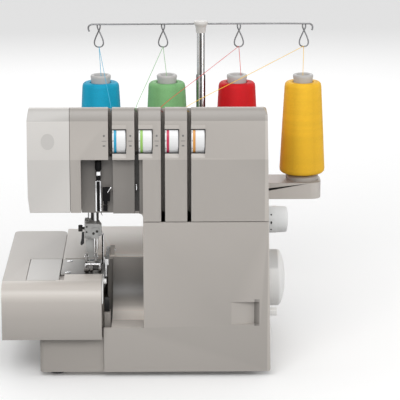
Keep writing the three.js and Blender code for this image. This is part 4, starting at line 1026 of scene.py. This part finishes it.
def make_needle_clamp():
    left = NEEDLE_X - 12.6
    right = NEEDLE_X + 6.2
    front = CLAMP_FRONT

    def body(form):
        outline = [
            (left, CLAMP_BOTTOM), (left, CLAMP_TOP - 2.5), (left + 1.2, CLAMP_TOP - 0.8),
            (left + 4, CLAMP_TOP), (right - 4, CLAMP_TOP), (right - 1.4, CLAMP_TOP - 0.8),
            (right - 0.2, CLAMP_TOP - 2.6), (right, CLAMP_TOP - 5), (right, CLAMP_BOTTOM),
        ]
        add_prism(form, outline, "y", front, NEEDLE_Y + 4)
        round_edges(form, [edge for edge in form.edges if edge.calc_face_angle(0) > 0.2], 0.45 * MM)
        low = (NEEDLE_X - 5.4, front - 1.5, CLAMP_BOTTOM - 3)
        add_block(form, low, (NEEDLE_X + 3.6, front + 3, CLAMP_BOTTOM + 9.4), 0.5)
        collar = [(4.2, 0), (4.4, 0.6), (4.4, 1.5), (3.5, 2.1)]
        add_turned(form, collar, (NEEDLE_X, NEEDLE_Y, CLAMP_TOP - 0.2))

    stand_in("needle_clamp", "needle_clamp_body", body, "needle_bar", MACHINE["clamp"])

    def screws(form):
        for x, z in ((NEEDLE_X - 10.4, 161.6), (NEEDLE_X - 10.6, 155.4)):
            add_screw(form, (x, front + 0.2, z), 1.1, 0.5, 0.4)
        add_screw(form, (NEEDLE_X - 2.8, front - 1.4, CLAMP_BOTTOM + 3.2), 1.5, 1.3, 0.3)
        add_screw(form, (NEEDLE_X + 1.2, front - 1.4, CLAMP_BOTTOM + 5.6), 1.5, 1.3, -0.5)

    new_piece("needle_clamp_screws", screws, "needle_bar", MACHINE["dark_steel"])

    def needles(form):
        for x, tip in ((NEEDLE_X - 2, 119), (NEEDLE_X + 1.2, 121)):
            point = [(0.1, tip), (0.32, tip + 3), (0.45, tip + 12)]
            shank = [(1.0, tip + 14.5), (1.0, CLAMP_BOTTOM + 1)]
            add_turned(form, point + shank, (x, NEEDLE_Y - 1, 0), sides=16)

    new_piece("needles", needles, "needle_bar", MACHINE["chrome"])

    def guide(form):
        hook = [
            (right - 0.6, front + 1, 158), (right + 0.6, front - 1.2, 156), (right + 0.6, front - 2.4, 153.4),
            (right - 1.6, front - 3.0, 151.6), (right - 3.8, front - 2.4, 152.2),
        ]
        add_wire(form, hook, 0.45)

    new_piece("needle_clamp_guide", guide, "needle_bar", MACHINE["chrome"])


def make_foot_holder():
    def body(form):
        add_block(form, (-97, 63, 144), (-85.4, 76, 166), 0.9, 3)
        add_block(form, (-93.2, 63.4, 121.5), (-86.8, 72, 145), 0.5)
        add_block(form, (-95.6, 62.8, 128), (-84.4, 64.6, 143), 0.4)
        add_turned(form, [(4.6, 0), (4.8, 0.5), (4.8, 1.4), (3.6, 2)], (PRESSER_X, 68, 165.8))

    stand_in("foot_holder", "foot_holder_body", body, "presser_bar", MACHINE["clamp"])

    def thumb_screw(form):
        profile = [(1.6, 0), (1.6, 2.4), (3.4, 2.5), (3.9, 3.0, 1), (3.9, 6.6, 1), (3.4, 7.2), (0.4, 7.3)]
        profile = [(radius, -height, *rest) for radius, height, *rest in profile]
        add_turned(form, profile, (-97, 69.5, 155), "x", 96, 20, 0.3)

    new_piece("foot_holder_screw", thumb_screw, "presser_bar", MACHINE["dark_steel"])


def make_presser_foot():
    """Sole with raised toe, needle slot, side walls, hinge ears and pin."""

    def body(form):
        toe = [(36, 116.2), (36.8, 117.0), (39.5, 114.6), (43, 113.4)]
        sole = [(79, 113.4), (79, 111.4), (41.5, 111.4), (38.2, 113.2)]
        for left, right in ((-97, -91.8), (-90.6, -87.8), (-80.6, -78)):
            add_prism(form, toe + sole, "x", left, right)
        add_block(form, (-92, 50, 111.4), (-90.4, 79, 113.4))
        add_block(form, (-88, 62.4, 111.4), (-80.5, 79, 113.4))
        add_block(form, (-97, 44, 113.2), (-95.6, 76, 115.6), 0.3)
        add_block(form, (-79.4, 44, 113.2), (-78, 76, 115.6), 0.3)
        for x in (-97, -86.4):
            add_block(form, (x, 62.6, 113), (x + 3.2, 73.4, 124.4), 0.6)
        add_block(form, (-97, 62.6, 113.2), (-83.2, 73.4, 118), 0.5)

    stand_in("presser_foot", "presser_foot_body", body, "presser_foot", MACHINE["foot"])

    def bar(form):
        add_turned(form, [(0.9, 0), (1.1, 0.2), (1.1, 17.4), (0.9, 17.6)], (-96.2, 44.6, 119.6), "x", 20)
        for x in (-95.4, -79.6):
            add_block(form, (x - 0.8, 44, 113.2), (x + 0.8, 45.4, 119.8), 0.2)
        add_turned(form, [(1.2, 0), (1.2, 15.6)], (-97.8, 68, 122.2), "x", 20)

    new_piece("presser_foot_bar", bar, "presser_foot", MACHINE["chrome"])


def make_release_lever():
    def build(form):
        tail = [(-101.8, 137), (-100.4, 136.4), (-97.8, 138.8)]
        top = [(-97.6, 151), (-100.2, 151), (-100.4, 143), (-101.8, 139.6)]
        add_prism(form, tail + top, "y", 63, 69)
        round_edges(form, form.edges, 0.35 * MM)

    black = MACHINE["black"]
    stand_in("foot_release_lever", "foot_release_catch", build, "foot_release", black)


def make_bay_guides():
    """Thread guides in the recess: tube, collar, polished strip, black guide with its nut, and wires."""

    def dark(form):
        add_turned(form, [(3.3, 237.6), (3.6, 238), (3.6, 247), (3.2, 247.6)], (-78.8, 11.4, 0))
        add_turned(form, [(2.5, 226), (2.5, 238)], (-78.8, 11.4, 0))
        add_block(form, (-74.2, 6.6, 202.6), (-66, 9.6, 218.6), 0.8)
        add_block(form, (-73, 9, 198), (-69, 15.4, 214), 0.3)
        add_block(form, (-73.8, 6.6, 191.4), (-68.8, 10.8, 197.4), 0.5)
        add_block(form, (-80.6, 10.2, 190.6), (-77.4, 11.0, 224), 0.1)

    stand_in("needle_thread_guide", "bay_guides_dark", dark, "frame", MACHINE["deep_black"])

    def bright(form):
        add_block(form, (-82.2, 10.8, 190), (-80.4, 14.6, 224.6), 0.3)
        add_block(form, (-77.6, 10.8, 190), (-75.8, 14.6, 224.6), 0.3)
        add_block(form, (-82.2, 13, 190), (-75.8, 15.4, 224.6), 0.3)
        add_turned(form, [(3.0, 231.2), (3.6, 231.8), (3.6, 235.8), (3.0, 236.4)], (-78.8, 11.4, 0))
        add_turned(form, [(1.2, 0), (1.2, 1), (2.7, 1.1), (2.7, 2.4), (2.2, 3), (0.4, 3.1)],
                   (-70.8, 6.8, 211.6), "y", 6)
        wire = [(-68.4, 6.2, 213), (-66.6, 5, 216.4), (-65.2, 4.6, 218.6), (-64.4, 6, 220)]
        add_wire(form, wire, 0.5)
        hook = [(-76.2, 9, 190.4), (-75.6, 6.6, 188.2), (-74.6, 6.0, 186.8)]
        add_wire(form, hook, 0.5)

    stand_in("needle_thread_guide", "bay_guides_bright", bright, "frame", MACHINE["chrome"])


def make_slot_guide():
    """A small bright guide that shows in the second thread slot, low in the recess."""

    def build(form):
        add_block(form, (-37.6, 16, 213), (-36.2, 19, 219.6), 0.3)

    new_piece("slot_guide", build, "frame", MACHINE["chrome"])


def make_plate_screws():
    def build(form):
        for x, y in ((-115.3, 90.5), (-115.3, 44.5)):
            add_turned(form, [(3.4, -0.3), (3.4, 0.1), (2.9, 0.35), (0.3, 0.4)], (x, y, 110), sides=32)
            add_block(form, (x - 2.7, y - 0.35, 110.3), (x + 2.7, y + 0.35, 110.46))

    new_piece("plate_screws", build, "frame", MACHINE["chrome"])


def make_face_inlay():
    """A plain oval inlay on the face cover."""

    def build(form):
        add_on_panel(form, (-133.4, 271.4), 7.4, 8.9, 1, 0.25)

    new_piece("face_inlay", build, "frame", MACHINE["inlay"])


# ---- assembly --------------------------------------------------------------------------------------

make_camera()
make_studio()
dress_nodes()
for station in range(1, 5):
    make_cone(station)
    make_dial(station)
make_mast()
make_guide_bar()
make_threads()
make_dial_marks()
make_window_lips()
make_stitch_knob()
make_handwheel()
make_needle_clamp()
make_foot_holder()
make_presser_foot()
make_release_lever()
make_bay_guides()
make_slot_guide()
make_plate_screws()
make_face_inlay()
